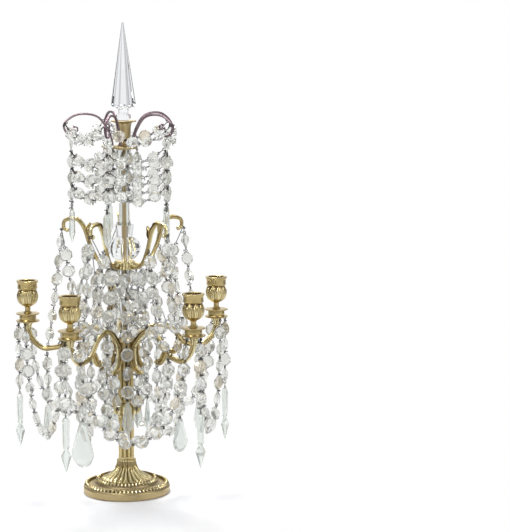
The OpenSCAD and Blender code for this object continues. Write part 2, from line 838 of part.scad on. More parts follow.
// Inner garlands from a leaf to the next arm, ties from the brackets to the knop,
// and short strands inside the arches

leaf_place = 2.6;
garland_place = 5.2;
bracket_place = 3.7;
knop_lead = 5;
function inner_garland(k) = loop(
  under(leaf_control, leaf_place, arm_az(k)), under(arm_control, garland_place, arm_az(k + 1)),
  inner_garland_depth
);
function knop_tie(k) = [
  under(bracket_control, bracket_place, arm_az(k)),
  polar(knop_d / 2 + wire_r + seat_gap, arm_az(k), knop_z + knop_h / 2)
];

arch_place = 2.6;
arch_n = 2;
function arch_strand(k) =
  let (top = under(arm_control, arch_place, arm_az(k)))
  [top, top - [0, 0, link_lead + arch_n * (bead_w + link_gap) - link_gap + seat_gap]];

module arm_beads() {
  color(glass, 0.6) for (k = [1 : lights]) {
    strand_beads(arch_strand(k), bead_w, link_lead, seat_gap);
    strand_beads(inner_garland(k), bead_w);
    strand_beads(knop_tie(k), bead_w, knop_lead, knop_lead);
    translate(front_end(k) - [0, 0, link_gap]) rotate(rim_az(k) + 90)
      cut_drop(kite_outline(), bead_t / kite_w);
  }
}

module strand_wires() {
  color(wire_colour) {
    for (k = [1 : lights]) {
      strand_pins(crown_strand(k), crown_bead_w, tie_lead, prism_lead);
      strand_pins(inner_garland(k), bead_w);
      strand_pins(knop_tie(k), bead_w, knop_lead, knop_lead);
      strand_pins(arch_strand(k), bead_w, link_lead, seat_gap);
      wire(front_end(k), front_end(k) - [0, 0, link_gap - seat_gap]);
    }
    for (s = crown_swags()) strand_pins(s, crown_bead_w, swag_lead, swag_lead);
    for (s = plate_strands()) strand_pins(s, crown_bead_w, rim_lead, seat_gap);
    for (s = stem_strands()) strand_pins(s[0], bead_w, s[1], s[2]);
  }
}

// Hooks and what swings on them

// Hook: a pin along the direction az, held at one end by a wire from above
module hook(p, az, rise) {
  translate(p) rotate(az) {
    translate([-hook_w / 2, 0, 0]) rotate([0, 90, 0]) cylinder(r = wire_r, h = hook_w, $fn = 16);
    translate([hook_w / 2 - wire_r, 0, 0]) cylinder(r = wire_r, h = rise, $fn = 16);
  }
}

// Wire eye about a pin along the direction az
module eye(p, az) {
  translate(p) rotate(az) rotate([0, 90, 0])
    rotate_extrude($fn = 32) translate([eye_r, 0]) circle(r = wire_r, $fn = 16);
}

function spear_hook(k) = polar(arm_reach + pan_d / 2 - 3, arm_az(k), pan_z - hook_drop);
pear_place = 6.6;
function pear_hook(k) = under(arm_control, pear_place, arm_az(k)) - [0, 0, hook_drop - wire_r];
function garland_hook(k, side) =
  polar(arm_reach, arm_az(k), pan_z - hook_drop) + side * polar(pan_d / 2 - 3, arm_az(k) + 90, 0);
function garland_az(k) = arm_az(k) + light_pitch / 2 + 90;
function crown_hook(k) =
  crown_end(k) - [0, 0, hook_drop] - polar(hook_w / 2 - wire_r, crown_az(k) + 90, 0);

module drop_hooks() {
  color(wire_colour) for (k = [1 : lights]) {
    hook(spear_hook(k), arm_az(k) + 90, hook_drop - seat_gap);
    hook(pear_hook(k), arm_az(k) + 90, hook_drop + wire_r);
    hook(garland_hook(k, 1), garland_az(k), hook_drop - seat_gap);
    hook(garland_hook(k + 1, -1), garland_az(k), hook_drop - seat_gap);
    hook(crown_hook(k), crown_az(k) + 90, hook_drop - seat_gap);
  }
}

// Four-sided drop: the outline [half width, height below the top] cut from two sides
cut_room = 100;
module cut_drop(outline, depth) {
  half = [for (p = outline) [p[0], -p[1]]];
  other = [for (i = [len(half) - 1 : -1 : 0]) [-half[i][0], half[i][1]]];
  intersection() {
    rotate([90, 0, 0]) linear_extrude(cut_room, center = true) polygon(concat(half, other));
    rotate([90, 0, 90]) linear_extrude(cut_room, center = true)
      polygon([for (p = concat(half, other)) [p[0] * depth, p[1]]]);
  }
}

function spear_outline() = [
  [0.22 * spear_w, 0], [0.36 * spear_w, 3], [0.3 * spear_w, 0.54 * spear_h], [0.2 * spear_w, 0.58 * spear_h],
  [0.5 * spear_w, 0.68 * spear_h], [0.4, spear_h]
];
function prism_outline() = [
  [0.25 * prism_w, 0], [0.42 * prism_w, 4], [0.5 * prism_w, 0.72 * prism_h], [0.4, prism_h]
];
function kite_outline() = [
  [0.12 * kite_w, 0], [0.34 * kite_w, 0.34 * kite_h], [0.5 * kite_w, 0.64 * kite_h], [0.4, kite_h]
];
function pear_outline(w, h) = concat(
  [[0.12 * w, 0], [0.2 * w, 0.14 * h], [0.36 * w, 0.4 * h]],
  [for (a = [0 : 30 : 90]) [w / 2 * cos(a) + 0.5, 0.66 * h + 0.34 * h * sin(a)]]
);

// Strand of n beads below an eye, with a drop at the end of its last wire
module hanging_strand(p, az, n, lead = link_gap) {
  pitch = bead_w + link_gap;
  foot = -(eye_r + n * pitch);
  eye(p, az + 90);
  translate(p) rotate(az) {
    for (i = [1 : 1 : n]) {
      top = -(eye_r + link_gap + (i - 1) * pitch);
      translate([0, 0, top - bead_w / 2]) rotate(90 + 35 * sin(140 * i + az)) bead(bead_w, bead_t);
      wire([0, 0, i == 1 ? -eye_r : top + link_gap - seat_gap], [0, 0, top + seat_gap]);
    }
    wire([0, 0, n == 0 ? -eye_r : foot - seat_gap], [0, 0, foot - lead + seat_gap]);
    translate([0, 0, foot - lead]) children();
  }
}

spear_beads = 4;
spear_lead = 10;
pear_beads = 3;
pear_t = 8;

module spear_drop(k) {
  color(glass, 0.6) hanging_strand(spear_hook(k), arm_az(k), spear_beads, spear_lead)
    cut_drop(spear_outline(), 0.9);
}

module pear_drop(k) {
  w = k == plaque_arm ? plaque_w : pear_w;
  h = k == plaque_arm ? plaque_h : pear_h;
  color(glass, 0.6) hanging_strand(pear_hook(k), arm_az(k), pear_beads)
    rotate(90) cut_drop(pear_outline(w, h), pear_t / w);
}

module crown_drop(k) {
  color(glass, 0.6) hanging_strand(crown_hook(k), crown_az(k), 0) rotate(90) cut_drop(prism_outline(), 0.7);
}

function garland_path(k) =
  let (down = [0, 0, -eye_r])
  loop(garland_hook(k, 1) + down, garland_hook(k + 1, -1) + down, garland_depth);

module garland(k) {
  color(glass, 0.6) {
    eye(garland_hook(k, 1), garland_az(k));
    eye(garland_hook(k + 1, -1), garland_az(k));
    strand_beads(garland_path(k), bead_w);
    strand_pins(garland_path(k), bead_w);
  }
}

base_plate();
base_leaf_ring();
base_bead_ring();
base_washer();
base_nut();
tie_rod();
spreading_foot();
foot_collar();
lower_column();
knop();
upper_column();
arm_hub();
drip_pans();
glass_spindle();
branch_hub();
upper_branches();
glass_bowl();
glass_tube();
glass_bell();
crown_plate();
crown_neck();
crown_scrolls();
finial_socket();
finial_spire();
crown_rosettes();
crown_beads();
stem_beads();
arm_beads();
strand_wires();
drop_hooks();
for (k = [1 : lights]) {
  candle_arm(k);
  candle_cup(k);
  crown_drop(k);
  spear_drop(k);
  pear_drop(k);
  garland(k);
}
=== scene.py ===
import math

import bmesh
import bpy
import numpy as np
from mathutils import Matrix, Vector


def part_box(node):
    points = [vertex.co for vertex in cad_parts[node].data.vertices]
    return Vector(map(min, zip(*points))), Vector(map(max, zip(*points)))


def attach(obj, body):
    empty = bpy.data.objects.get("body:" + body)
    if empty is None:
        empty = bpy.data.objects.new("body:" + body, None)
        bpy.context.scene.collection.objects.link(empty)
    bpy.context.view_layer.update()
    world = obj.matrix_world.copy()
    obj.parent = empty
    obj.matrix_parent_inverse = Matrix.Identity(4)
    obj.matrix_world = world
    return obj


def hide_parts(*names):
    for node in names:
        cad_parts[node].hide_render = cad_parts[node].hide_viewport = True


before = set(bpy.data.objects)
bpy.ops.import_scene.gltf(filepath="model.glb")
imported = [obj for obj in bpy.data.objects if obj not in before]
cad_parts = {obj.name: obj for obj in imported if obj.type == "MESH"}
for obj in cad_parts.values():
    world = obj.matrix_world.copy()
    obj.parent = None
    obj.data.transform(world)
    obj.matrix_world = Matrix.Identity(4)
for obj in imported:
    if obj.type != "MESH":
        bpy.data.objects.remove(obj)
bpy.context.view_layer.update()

scene = bpy.context.scene
dice = np.random.default_rng(seed=11)
TURN = 2 * math.pi
# A millimetre in metres, and a metre in millimetres
MM, METRE = 0.001, 1000
LIGHTS = 5


# Finishes

class Value:
    """A socket of a finish, so that shader maths reads as arithmetic."""

    def __init__(self, finish, socket):
        self.finish, self.socket = finish, socket

    def maths(self, operation, first, second):
        return self.finish.node("ShaderNodeMath", {"operation": operation}, {0: first, 1: second})

    def __add__(self, other):
        return self.maths("ADD", self, other)

    def __sub__(self, other):
        return self.maths("SUBTRACT", self, other)

    def __rsub__(self, other):
        return self.maths("SUBTRACT", other, self)

    def __mul__(self, other):
        return self.maths("MULTIPLY", self, other)

    __radd__ = __add__
    __rmul__ = __mul__


class Finish:
    """A material, or the studio's light, and the nodes it is made of."""

    def __init__(self, name, kind=bpy.data.materials):
        self.material = kind.new(name)
        self.material.use_nodes = True
        self.tree = self.material.node_tree
        self.tree.nodes.clear()

    def node(self, kind, settings=None, sockets=None, out=0):
        node = self.tree.nodes.new(kind)
        for key, value in (settings or {}).items():
            if key == "stops":
                while len(node.color_ramp.elements) < len(value):
                    node.color_ramp.elements.new(1.0)
                for element, (place, colour) in zip(node.color_ramp.elements, value):
                    element.position, element.color = place, colour
            else:
                setattr(node, key, value)
        for key, value in (sockets or {}).items():
            if isinstance(value, Value):
                self.tree.links.new(value.socket, node.inputs[key])
            else:
                node.inputs[key].default_value = value
        return Value(self, node.outputs[out]) if node.outputs else None

    def place(self):
        return self.node("ShaderNodeTexCoord", out="Object")

    def carried(self, name):
        return self.node("ShaderNodeAttribute", {"attribute_name": name}, out="Fac")

    def ray(self, kind):
        return self.node("ShaderNodeLightPath", out=f"Is {kind} Ray")

    def noise(self, scale, detail, rough=0.55):
        return self.node("ShaderNodeTexNoise", None, {
            "Vector": self.place(), "Scale": scale, "Detail": detail, "Roughness": rough})

    def ramp(self, value, *stops):
        return self.node("ShaderNodeValToRGB", {"stops": stops}, {"Fac": value})

    def mixed(self, share, first, second):
        return self.node("ShaderNodeMix", {"data_type": "RGBA"}, {0: share, 6: first, 7: second}, 2)

    def blend(self, share, first, second):
        return self.node("ShaderNodeMixShader", None, {0: share, 1: first, 2: second})

    def bump(self, height, strength, distance):
        sockets = {"Height": height, "Strength": strength, "Distance": distance}
        return self.node("ShaderNodeBump", None, sockets)

    def surface(self, **sockets):
        named = {key.replace("_", " "): value for key, value in sockets.items()}
        return self.node("ShaderNodeBsdfPrincipled", None, named)

    def done(self, shader, output="ShaderNodeOutputMaterial"):
        self.node(output, None, {"Surface": shader})
        return self.material


BLACK, WHITE, VEIL = (0, 0, 0, 1), (1, 1, 1, 1), (0.93, 0.94, 0.94, 1)
VEILED, LEAST_HAZE = 0.82, 0.004


def grey(tone):
    return (tone, tone, tone, 1)


def paint(red, green, blue):
    """A colour as it is seen on a screen, from 0 to 255, for a shader."""
    def light(c):
        c /= 255
        return c / 12.92 if c <= 0.04045 else ((c + 0.055) / 1.055) ** 2.4
    return (light(red), light(green), light(blue), 1.0)


def gilt_metal(name, recess, body, crest, least_rough, plain=False):
    """Worn gilding, with painted shade in the recesses and a painted highlight on the crests, brown clouds
    and fine rubbing.
    """
    f = Finish(name)
    relief = f.noise(scale=60, detail=2) if plain else f.carried("relief")
    cloud = f.noise(scale=38, detail=4)
    grain = f.noise(scale=420, detail=3, rough=0.6)
    height = relief + (cloud - 0.5) * 0.5 + (grain - 0.5) * 0.3
    # Low relief paints the recess colour as shade, high relief paints the crest colour as a highlight
    colour = f.ramp(height, (0.06, recess), (0.42, body), (0.66, body), (0.98, crest))
    brown = f.ramp(f.noise(scale=17, detail=5, rough=0.65), (0.52, BLACK), (0.76, grey(0.5)))
    colour = f.mixed(brown, colour, recess)
    rough = (1 - relief) * 0.18 + cloud * 0.12 + grain * 0.06 + least_rough
    normal = f.bump(grain * 0.6 + cloud * 0.8, strength=0.25, distance=0.0004)
    return f.done(f.surface(Base_Color=colour, Metallic=1.0, Roughness=rough, Normal=normal))


def plain_metal(name, dark, pale, scale, detail, metallic, least_rough, spread):
    """Metal whose tone and polish vary together."""
    f = Finish(name)
    tone = f.noise(scale, detail)
    colour = f.ramp(tone, (0.3, dark), (0.7, pale))
    return f.done(f.surface(Base_Color=colour, Metallic=metallic, Roughness=tone * spread + least_rough))


def cut_glass(name, clear, warm, rough, index, passed=1.0):
    """Clear glass whose pieces differ a little in tint, with the spire's bevels taking the second colour as
    painted shade; light passes on to what stands behind.
    """
    f = Finish(name)
    colour = f.mixed(f.carried("tint"), clear, warm)
    haze = f.noise(scale=120, detail=2) * rough + LEAST_HAZE
    body = f.surface(Base_Color=colour, Roughness=haze, IOR=index, Transmission_Weight=passed)
    veil = f.node("ShaderNodeBsdfTransparent", None, {"Color": VEIL})
    return f.done(f.blend(f.ray("Shadow") * VEILED, body, veil))


# Each gilt finish: a recess colour that paints shade and tints the brown clouds, the body colour, and a crest
# colour that paints a highlight
CAST = gilt_metal(
    "worn_gilt_casting", paint(74, 58, 44), paint(194, 174, 122), paint(255, 249, 206), least_rough=0.12)
TURNED = gilt_metal(
    "worn_gilt_turning", paint(98, 82, 68), paint(188, 169, 126), paint(250, 240, 200), least_rough=0.2)
ROD = gilt_metal(
    "worn_gilt_rod", paint(112, 90, 64), paint(192, 168, 120), paint(230, 210, 160),
    least_rough=0.2, plain=True)
BRONZE = gilt_metal(
    "brown_bronze_wire", paint(62, 48, 54), paint(130, 110, 118), paint(190, 174, 176), least_rough=0.24)
WIRE = plain_metal(
    "dark_drawn_wire", paint(24, 20, 20), paint(54, 46, 42),
    scale=260, detail=2, metallic=0.2, least_rough=0.35, spread=0.25)
STEEL = plain_metal(
    "plain_steel", paint(120, 118, 116), paint(168, 166, 164),
    scale=300, detail=3, metallic=1.0, least_rough=0.3, spread=0.2)
CRYSTAL = cut_glass(
    "cut_glass", paint(234, 235, 232), paint(228, 221, 205), rough=0.05, index=1.52, passed=0.88)
CLEAR = cut_glass("clear_stem_glass", paint(246, 247, 248), paint(243, 242, 239), rough=0.04, index=1.44)
# The spire's second colour is a painted grey shade for the lines along its bevels
SPIRE = cut_glass("spire_glass", paint(246, 247, 249), paint(182, 183, 188), rough=0.04, index=1.26)
DROP = cut_glass(
    "pale_drop_glass", paint(234, 238, 235), paint(234, 234, 226), rough=0.05, index=1.45, passed=0.75)
BLOWN = cut_glass("blown_glass", paint(242, 245, 243), paint(240, 240, 232), rough=0.05, index=1.46)


# Mesh work, in millimetres

# Relief of a plain surface, and the angle in degrees over which an edge of a turning or a casting is crisp
PLAIN, CRISP = 0.6, 35


class Stock:
    """Faces gathered for one piece, with a relief and a tint for each point."""

    def __init__(self):
        self.points, self.faces, self.relief, self.tint, self.count = [], [], [], [], 0

    def add(self, points, faces, relief=PLAIN, tint=0.0):
        points = np.asarray(points, float).reshape(-1, 3)
        self.faces += [[i + self.count for i in face] for face in faces]
        self.points.append(points)
        self.relief.append(np.broadcast_to(np.asarray(relief, float).reshape(-1), (len(points),)))
        self.tint.append(np.broadcast_to(np.asarray(tint, float).reshape(-1), (len(points),)))
        self.count += len(points)
        return self

    def add_round(self, shapes, azimuth):
        for points, faces, relief in shapes:
            self.add(swung(points, azimuth), faces, relief)
        return self

    def make(self, name, body, finish, slot, *nodes, sharp=CRISP):
        """The finished piece; with no sharp angle every face is flat."""
        mesh = bpy.data.meshes.new(name)
        mesh.from_pydata((np.concatenate(self.points) * MM).tolist(), [], self.faces)
        work = bmesh.new()
        work.from_mesh(mesh)
        bmesh.ops.recalc_face_normals(work, faces=work.faces)
        work.to_mesh(mesh)
        work.free()
        for key, rows in (("relief", self.relief), ("tint", self.tint)):
            layer = mesh.attributes.new(key, "FLOAT", "POINT")
            layer.data.foreach_set("value", np.concatenate(rows).astype(np.float32))
        if sharp:
            mesh.shade_smooth()
            mesh.set_sharp_from_angle(angle=math.radians(sharp))
        mesh.materials.append(finish)
        piece = bpy.data.objects.new(name, mesh)
        scene.collection.objects.link(piece)
        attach(piece, body)
        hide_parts(*nodes)
        return piece


def skin(rows, columns, ring_rows=False):
    """Faces over rows of points, each row a closed ring."""
    faces = []
    for i in range(rows if ring_rows else rows - 1):
        for j in range(columns):
            a, b = i * columns, (i + 1) % rows * columns
            k = (j + 1) % columns
            faces.append((a + j, a + k, b + k, b + j))
    return faces


def capped(rows, columns):
    """A skin with a flat end on the first and the last row."""
    last = (rows - 1) * columns
    return skin(rows, columns) + [tuple(range(columns)), tuple(range(last, last + columns))]


def refined(line, step):
    """The line with points added, so that none are further apart than the step."""
    line = np.asarray(line, float)
    out = [line[:1]]
    for a, b in zip(line[:-1], line[1:]):
        n = max(1, math.ceil(np.linalg.norm((b - a)[:2]) / step))
        out.append(a + (b - a) * (np.arange(1, n + 1) / n)[:, None])
    return np.concatenate(out)


def lathe(profile, sides, carve=None, step=1.0, at=(0, 0)):
    """Closed profile of (radius, height) turned about Z; carve gives depth and relief over the surface."""
    line = refined(list(profile) + [profile[0]], step)[:-1] if step else np.asarray(profile, float)
    angle = np.arange(sides) * TURN / sides
    r, th = np.meshgrid(line[:, 0], angle, indexing="ij")
    z = np.repeat(line[:, 1:2], sides, axis=1)
    relief = np.full(r.shape, PLAIN)
    if carve:
        d = np.roll(line, -1, 0) - np.roll(line, 1, 0)
        d /= np.maximum(np.linalg.norm(d, axis=1, keepdims=True), 1e-9)
        depth, relief = carve(r, z, th)
        r, z = r + depth * d[:, 1:2], z - depth * d[:, 0:1]
    points = np.stack([r * np.cos(th) + at[0], r * np.sin(th) + at[1], z], -1).reshape(-1, 3)
    return points, skin(len(line), sides, True), relief.reshape(-1)


def turned(name, node, finish, profile, sides, carve=None, step=1.0, at=(0, 0), slot="brass", sharp=CRISP):
    """One turned piece of the stand, in the place of a CAD node."""
    Stock().add(*lathe(profile, sides, carve, step, at)).make(name, "stand", finish, slot, node, sharp=sharp)


def raised(z, *points):
    """Profile points given as a radius and a height over z."""
    return [(r, z + up) for r, up in points]


def stepped(r, z, *steps):
    """Profile points given as steps in from the radius and up from z."""
    return [(r - inward, z + up) for inward, up in steps]


ROD_HOLE, GLASS_HOLE, AXIS = 3.2, 3.3, 0.05


def bored(z0, z1, line, hole=ROD_HOLE):
    """The profile closed along a hole for the rod."""
    return [(hole, z0)] + line + [(hole, z1)]


def like_ends(r, z0, z1, *steps):
    """Bored profile with the same steps up from its foot and down from its top."""
    down = [(inward, -up) for inward, up in steps[::-1]]
    return bored(z0, z1, stepped(r, z0, *steps) + stepped(r, z1, *down))


CURVE_STEPS = 10
OUTWARD, UPWARD = (1, 0), (0, 1)


def spline(control):
    """Smooth curve through control points, the same as in the part."""
    c = np.asarray(control, float)
    n = len(c) - 1
    out = []
    for k in range(n * CURVE_STEPS + 1):
        u = k / CURVE_STEPS
        i = min(int(u), n - 1)
        t = u - i
        a, b, d, e = c[max(i - 1, 0)], c[i], c[i + 1], c[min(i + 2, n)]
        out.append(b + 0.5 * t * ((d - a) + t * ((2 * a - 5 * b + 4 * d - e) + t * (3 * b - a - 3 * d + e))))
    return np.array(out)


def lifted(curve, up, out, start=None, end=None):
    """Points above and beside a curve of [r, z]; start and end set the way it heads there."""
    h = np.gradient(curve[:, :2], axis=0)
    if start is not None:
        h[0] = start
    if end is not None:
        h[-1] = end
    h /= np.linalg.norm(h, axis=1, keepdims=True)
    return np.stack([curve[:, 0:1] - h[:, 1:2] * up, out, curve[:, 1:2] + h[:, 0:1] * up], -1).reshape(-1, 3)


def swung(points, azimuth):
    a = math.radians(azimuth)
    x, y, z = np.moveaxis(np.asarray(points, float), -1, 0)
    return np.stack([x * math.cos(a) - y * math.sin(a), x * math.sin(a) + y * math.cos(a), z], -1)


def ridge(x, width):
    """Soft ridge of height 1 where x is 0."""
    return np.exp(-((x / width) ** 2))


def bar(control, section, sides, start=None, end=None):
    """Bar along control points [r, z, half thickness]; section gives up, out and relief round the bar."""
    curve = spline(control)
    n = len(curve)
    phi, t = np.meshgrid(np.arange(sides) * TURN / sides, np.arange(n) / (n - 1))
    up, out, relief = section(phi, t)
    half = curve[:, 2:3]
    return lifted(curve, up * half, out * half, start, end), capped(n, sides), relief.reshape(-1)


def groove(phi, places, width):
    return sum(ridge(np.angle(np.exp(1j * (phi - p))), width) for p in places)


def cast_bar(phi, t):
    """Round back with a ridge above and below and a groove along each flank; the grooves are painted dark as
    shade, the ridges lighter as a highlight.
    """
    cut = groove(phi, np.radians([52, 128, -52, -128]), 0.2)
    r = 1 - 0.2 * cut + 0.02 * np.sin(31 * t) * np.cos(phi)
    return r * np.cos(phi), 0.94 * r * np.sin(phi), 0.78 - 0.7 * cut + 0.1 * np.cos(2 * phi)


def twin_wire(phi, t):
    """Two wires side by side, with painted shade in the groove between them."""
    cut = groove(phi, [0, math.pi], 0.42)
    r = 1 - 0.34 * cut
    return r * np.cos(phi), r * np.sin(phi), 0.72 - 0.75 * cut


LEAF_ACROSS, LEAF_THICK = 13, 0.9


def leaf(control, lobes, cup, lift):
    """Cast leaf along [r, z, half width]: lobed edges, a raised midrib and veins between the lobes, painted
    lighter on the midrib and darker at the edges as shade.
    """
    curve = spline(control)
    n = len(curve)
    t = (np.arange(n) / (n - 1))[:, None]
    v = np.linspace(-1, 1, LEAF_ACROSS)[None, :]
    edge = 0.74 + 0.26 * np.abs(np.sin(math.pi * lobes * t)) ** 0.6
    taper = np.clip(np.sin(math.pi * np.clip(t * 0.92 + 0.08, 0, 1)) ** 0.55, 0.1, 1)
    half = curve[:, 2:3] * edge * taper
    vein = np.cos(math.pi * lobes * 2 * (t + 0.12 * np.abs(v)))
    up = lift - cup * v * v + 0.45 * ridge(v, 0.16) + 0.22 * vein * np.abs(v)
    relief = 0.62 + 0.3 * ridge(v, 0.14) + 0.16 * vein - 0.3 * np.abs(v) ** 3
    up = np.concatenate([up, up[:, ::-1] - LEAF_THICK], axis=1)
    out = np.concatenate([v * half, (v * half)[:, ::-1]], axis=1)
    # The underside is painted darker as shade, at 0.4 of the top's relief
    shade = np.concatenate([relief, 0.4 * relief[:, ::-1]], axis=1)
    return lifted(curve, up, out), capped(n, 2 * LEAF_ACROSS), shade.reshape(-1)


def widened(control, share):
    return [(r, z, share * half) for r, z, half in control]


# Slanting direction from which a tube starts its first ring
ASKEW = (0.31, 0.17, 0.93)


def tube(path, radius, sides, closed=False):
    """Round wire along points in space."""
    path = np.asarray(path, float)
    n = len(path)
    d = np.roll(path, -1, 0) - np.roll(path, 1, 0) if closed else np.gradient(path, axis=0)
    d /= np.linalg.norm(d, axis=1, keepdims=True)
    a = np.arange(sides)[:, None] * TURN / sides
    side = np.cross(d[0], ASKEW)
    rows = []
    for i in range(n):
        side = side - d[i] * side.dot(d[i])
        side /= np.linalg.norm(side)
        rows.append(path[i] + radius * (np.cos(a) * side + np.sin(a) * np.cross(d[i], side)))
    return np.concatenate(rows), skin(n, sides, True) if closed else capped(n, sides)


def ball(end, lift, radius, relief):
    """Ball over the last control point of a bar, its poles cut flat; a relief above the plain one paints it
    lighter as a highlight.
    """
    rows, sides, cut = 8, 12, 0.12
    lat = np.linspace(-math.pi / 2 + cut, math.pi / 2 - cut, rows)
    th = np.arange(sides) * TURN / sides
    flat = np.cos(lat)
    p = [np.outer(flat, np.cos(th)), np.outer(flat, np.sin(th)), np.outer(np.sin(lat), np.ones(sides))]
    centre = np.array([end[0] + lift[0], 0, end[1] + lift[1]])
    return centre + radius * np.stack(p, -1).reshape(-1, 3), capped(rows, sides), relief


def lowest(node):
    return np.array(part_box(node)[0]) * METRE


def highest(node):
    return np.array(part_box(node)[1]) * METRE


def measures(node):
    """Foot, top and greatest radius of a turned node on the stem."""
    return lowest(node)[2], highest(node)[2], highest(node)[0]


SAME_POINT = 2e-6


def islands(node):
    """The separate solids of a CAD node, each as its points in millimetres."""
    work = bmesh.new()
    work.from_mesh(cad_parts[node].data)
    bmesh.ops.remove_doubles(work, verts=work.verts, dist=SAME_POINT)
    seen, out = set(), []
    for first in work.verts:
        if first.index in seen:
            continue
        seen.add(first.index)
        group, todo = [], [first]
        while todo:
            v = todo.pop()
            group.append(v.co[:])
            for e in v.link_edges:
                w = e.other_vert(v)
                if w.index not in seen:
                    seen.add(w.index)
                    todo.append(w)
        out.append(np.array(group) * METRE)
    work.free()
    return sorted(out, key=lambda p: tuple(np.round(p.mean(0), 2)))


# Places shared with the part

HUB_R, ARM_REACH, BRANCH_REACH, CROWN_REACH = 15.0, 141.0, 89.0, 83.0
ARM_HALF, SCROLL_HALF, SEAT = 3.8, 1.9, 0.25
ARCH, DIP, RISE, CROWN = 29.0, 4.0, 33.0, 46.0
ARM_UP, FIRST_ARM, CROWN_AHEAD = 9, 18, 14
ARM_Z, PAN_Z = lowest("arm_hub")[2] + ARM_UP, lowest("drip_pans")[2]
BRANCH_Z = (lowest("branch_hub")[2] + highest("branch_hub")[2]) / 2
NECK_Z = lowest("crown_neck")[2]
arm_azimuth = [FIRST_ARM + 360 // LIGHTS * k for k in range(LIGHTS)]
crown_azimuth = [a + CROWN_AHEAD for a in arm_azimuth]


def out_to(reach, foot, half, *rows):
    """Control points from rows of share of the way out, height over the foot and share of the half."""
    return [(HUB_R + (reach - HUB_R) * share, foot + up, half * thick) for share, up, thick in rows]


ARM = [
    (HUB_R + SEAT, ARM_Z, 0.9 * ARM_HALF),
    *out_to(ARM_REACH, ARM_Z, ARM_HALF,
            (0.08, 0.45 * ARCH, 0.95), (0.19, 0.88 * ARCH, 1), (0.31, ARCH, 1.05), (0.45, 0.74 * ARCH, 1.05),
            (0.59, 0.06 * ARCH, 1), (0.71, -0.85 * DIP, 1), (0.83, -DIP, 1), (0.94, 0.2 * RISE, 1.05)),
    (ARM_REACH - 0.5, ARM_Z + 0.6 * RISE, 1.15 * ARM_HALF), (ARM_REACH, PAN_Z, 1.5 * ARM_HALF)]
BRACKET = [(HUB_R + out, ARM_Z + up, thick * ARM_HALF) for out, up, thick in (
    (4.2, 2, 0.8), (3.8, -9, 0.8), (6, -20, 0.75), (12, -28, 0.6), (20, -31, 0.4))]
TURNED_LEAF = out_to(
    ARM_REACH, ARM_Z, ARM_HALF,
    (0.57, 0.14 * ARCH, 0.8), (0.52, -8, 0.75), (0.45, -14, 0.6), (0.38, -13, 0.35))
# Rows of the branches hold the half thickness itself
BRANCH = [
    (HUB_R + SEAT, BRANCH_Z, 2.32),
    *out_to(BRANCH_REACH, BRANCH_Z, 1.0,
            (0.15, -1.32, 2.61), (0.32, 6.6, 2.9), (0.46, 26.4, 3.05), (0.56, 48.84, 3.34),
            (0.69, 62.04, 3.19), (0.84, 63.1, 2.9), (0.96, 59.4, 2.61), (0.97, 50.16, 2.61),
            (0.91, 46.86, 2.03))]
BRANCH_LEAF = out_to(BRANCH_REACH, BRANCH_Z, 1.0, (0.52, 39.6, 2.9), (0.5, 51.48, 2.61), (0.45, 58.08, 1.16))
OUTERMOST = (CROWN_REACH - SCROLL_HALF - HUB_R) / (CROWN_REACH - HUB_R)
SCROLL = out_to(
    CROWN_REACH, NECK_Z, SCROLL_HALF,
    (0, SEAT, 1), (0.03, 0.26 * CROWN, 1), (0.12, 0.55 * CROWN, 1), (0.28, 0.85 * CROWN, 1),
    (0.5, CROWN - SCROLL_HALF, 1), (0.76, 0.92 * CROWN, 1), (OUTERMOST, 0.68 * CROWN, 1),
    (0.95, 0.44 * CROWN, 1), (0.84, 0.34 * CROWN, 0.9), (0.73, 0.41 * CROWN, 0.8),
    (0.71, 0.54 * CROWN, 0.7), (0.77, 0.58 * CROWN, 0.6))


# Base and foot

RECESS_R, RECESS_H, BASE_H = 13, 9, 18
COVE_R, COVE_W, COVE_H = 49, 6.6, 6
FOOT_RIM, FOOT_TOP_R, FOOT_LEAVES = 2.5, 12, 12
PEARL_R = 1.3


def from_middle(count, th, shift=0.0):
    """How far each place is from the middle of its repeat round the stem, from 0 to 1."""
    return np.abs((count * th / TURN + shift) % 1 - 0.5) * 2


def lobes(count, depth, sharp=0.7):
    """Round lobes side by side, with painted shade as a dark line between them."""
    def carve(radius, z, th):
        s = np.abs(np.sin(count * th / 2)) ** sharp
        return depth * (s - 1), 0.08 + 0.8 * s
    return carve


def leaf_and_pearl(count, outer, width):
    """Border on a slope: a row of leaf tips below, a row of pearls above, painted shade between them."""
    def carve(radius, z, th):
        s = np.clip((outer - radius) / width, 0, 1)
        f = from_middle(count, th)
        half = 0.92 * np.clip(np.sin(math.pi * np.clip(s / 0.62 * 0.8 + 0.2, 0, 1)), 0.08, 1) ** 0.7
        blade = np.clip(1 - (f / half) ** 2, 0, 1) * (s < 0.6)
        rib = ridge(f, 0.2) * (s < 0.5)
        across = from_middle(count, th, 0.5) / 2 * TURN * outer / count / PEARL_R
        bead = np.sqrt(np.clip(1 - across ** 2 - ((s - 0.82) * width / PEARL_R) ** 2, 0, 1))
        depth = 1.2 * np.maximum(blade, bead) - 1.2 + 0.3 * rib
        return depth, 0.04 + 0.74 * blade + 0.24 * rib + 0.95 * bead
    return carve


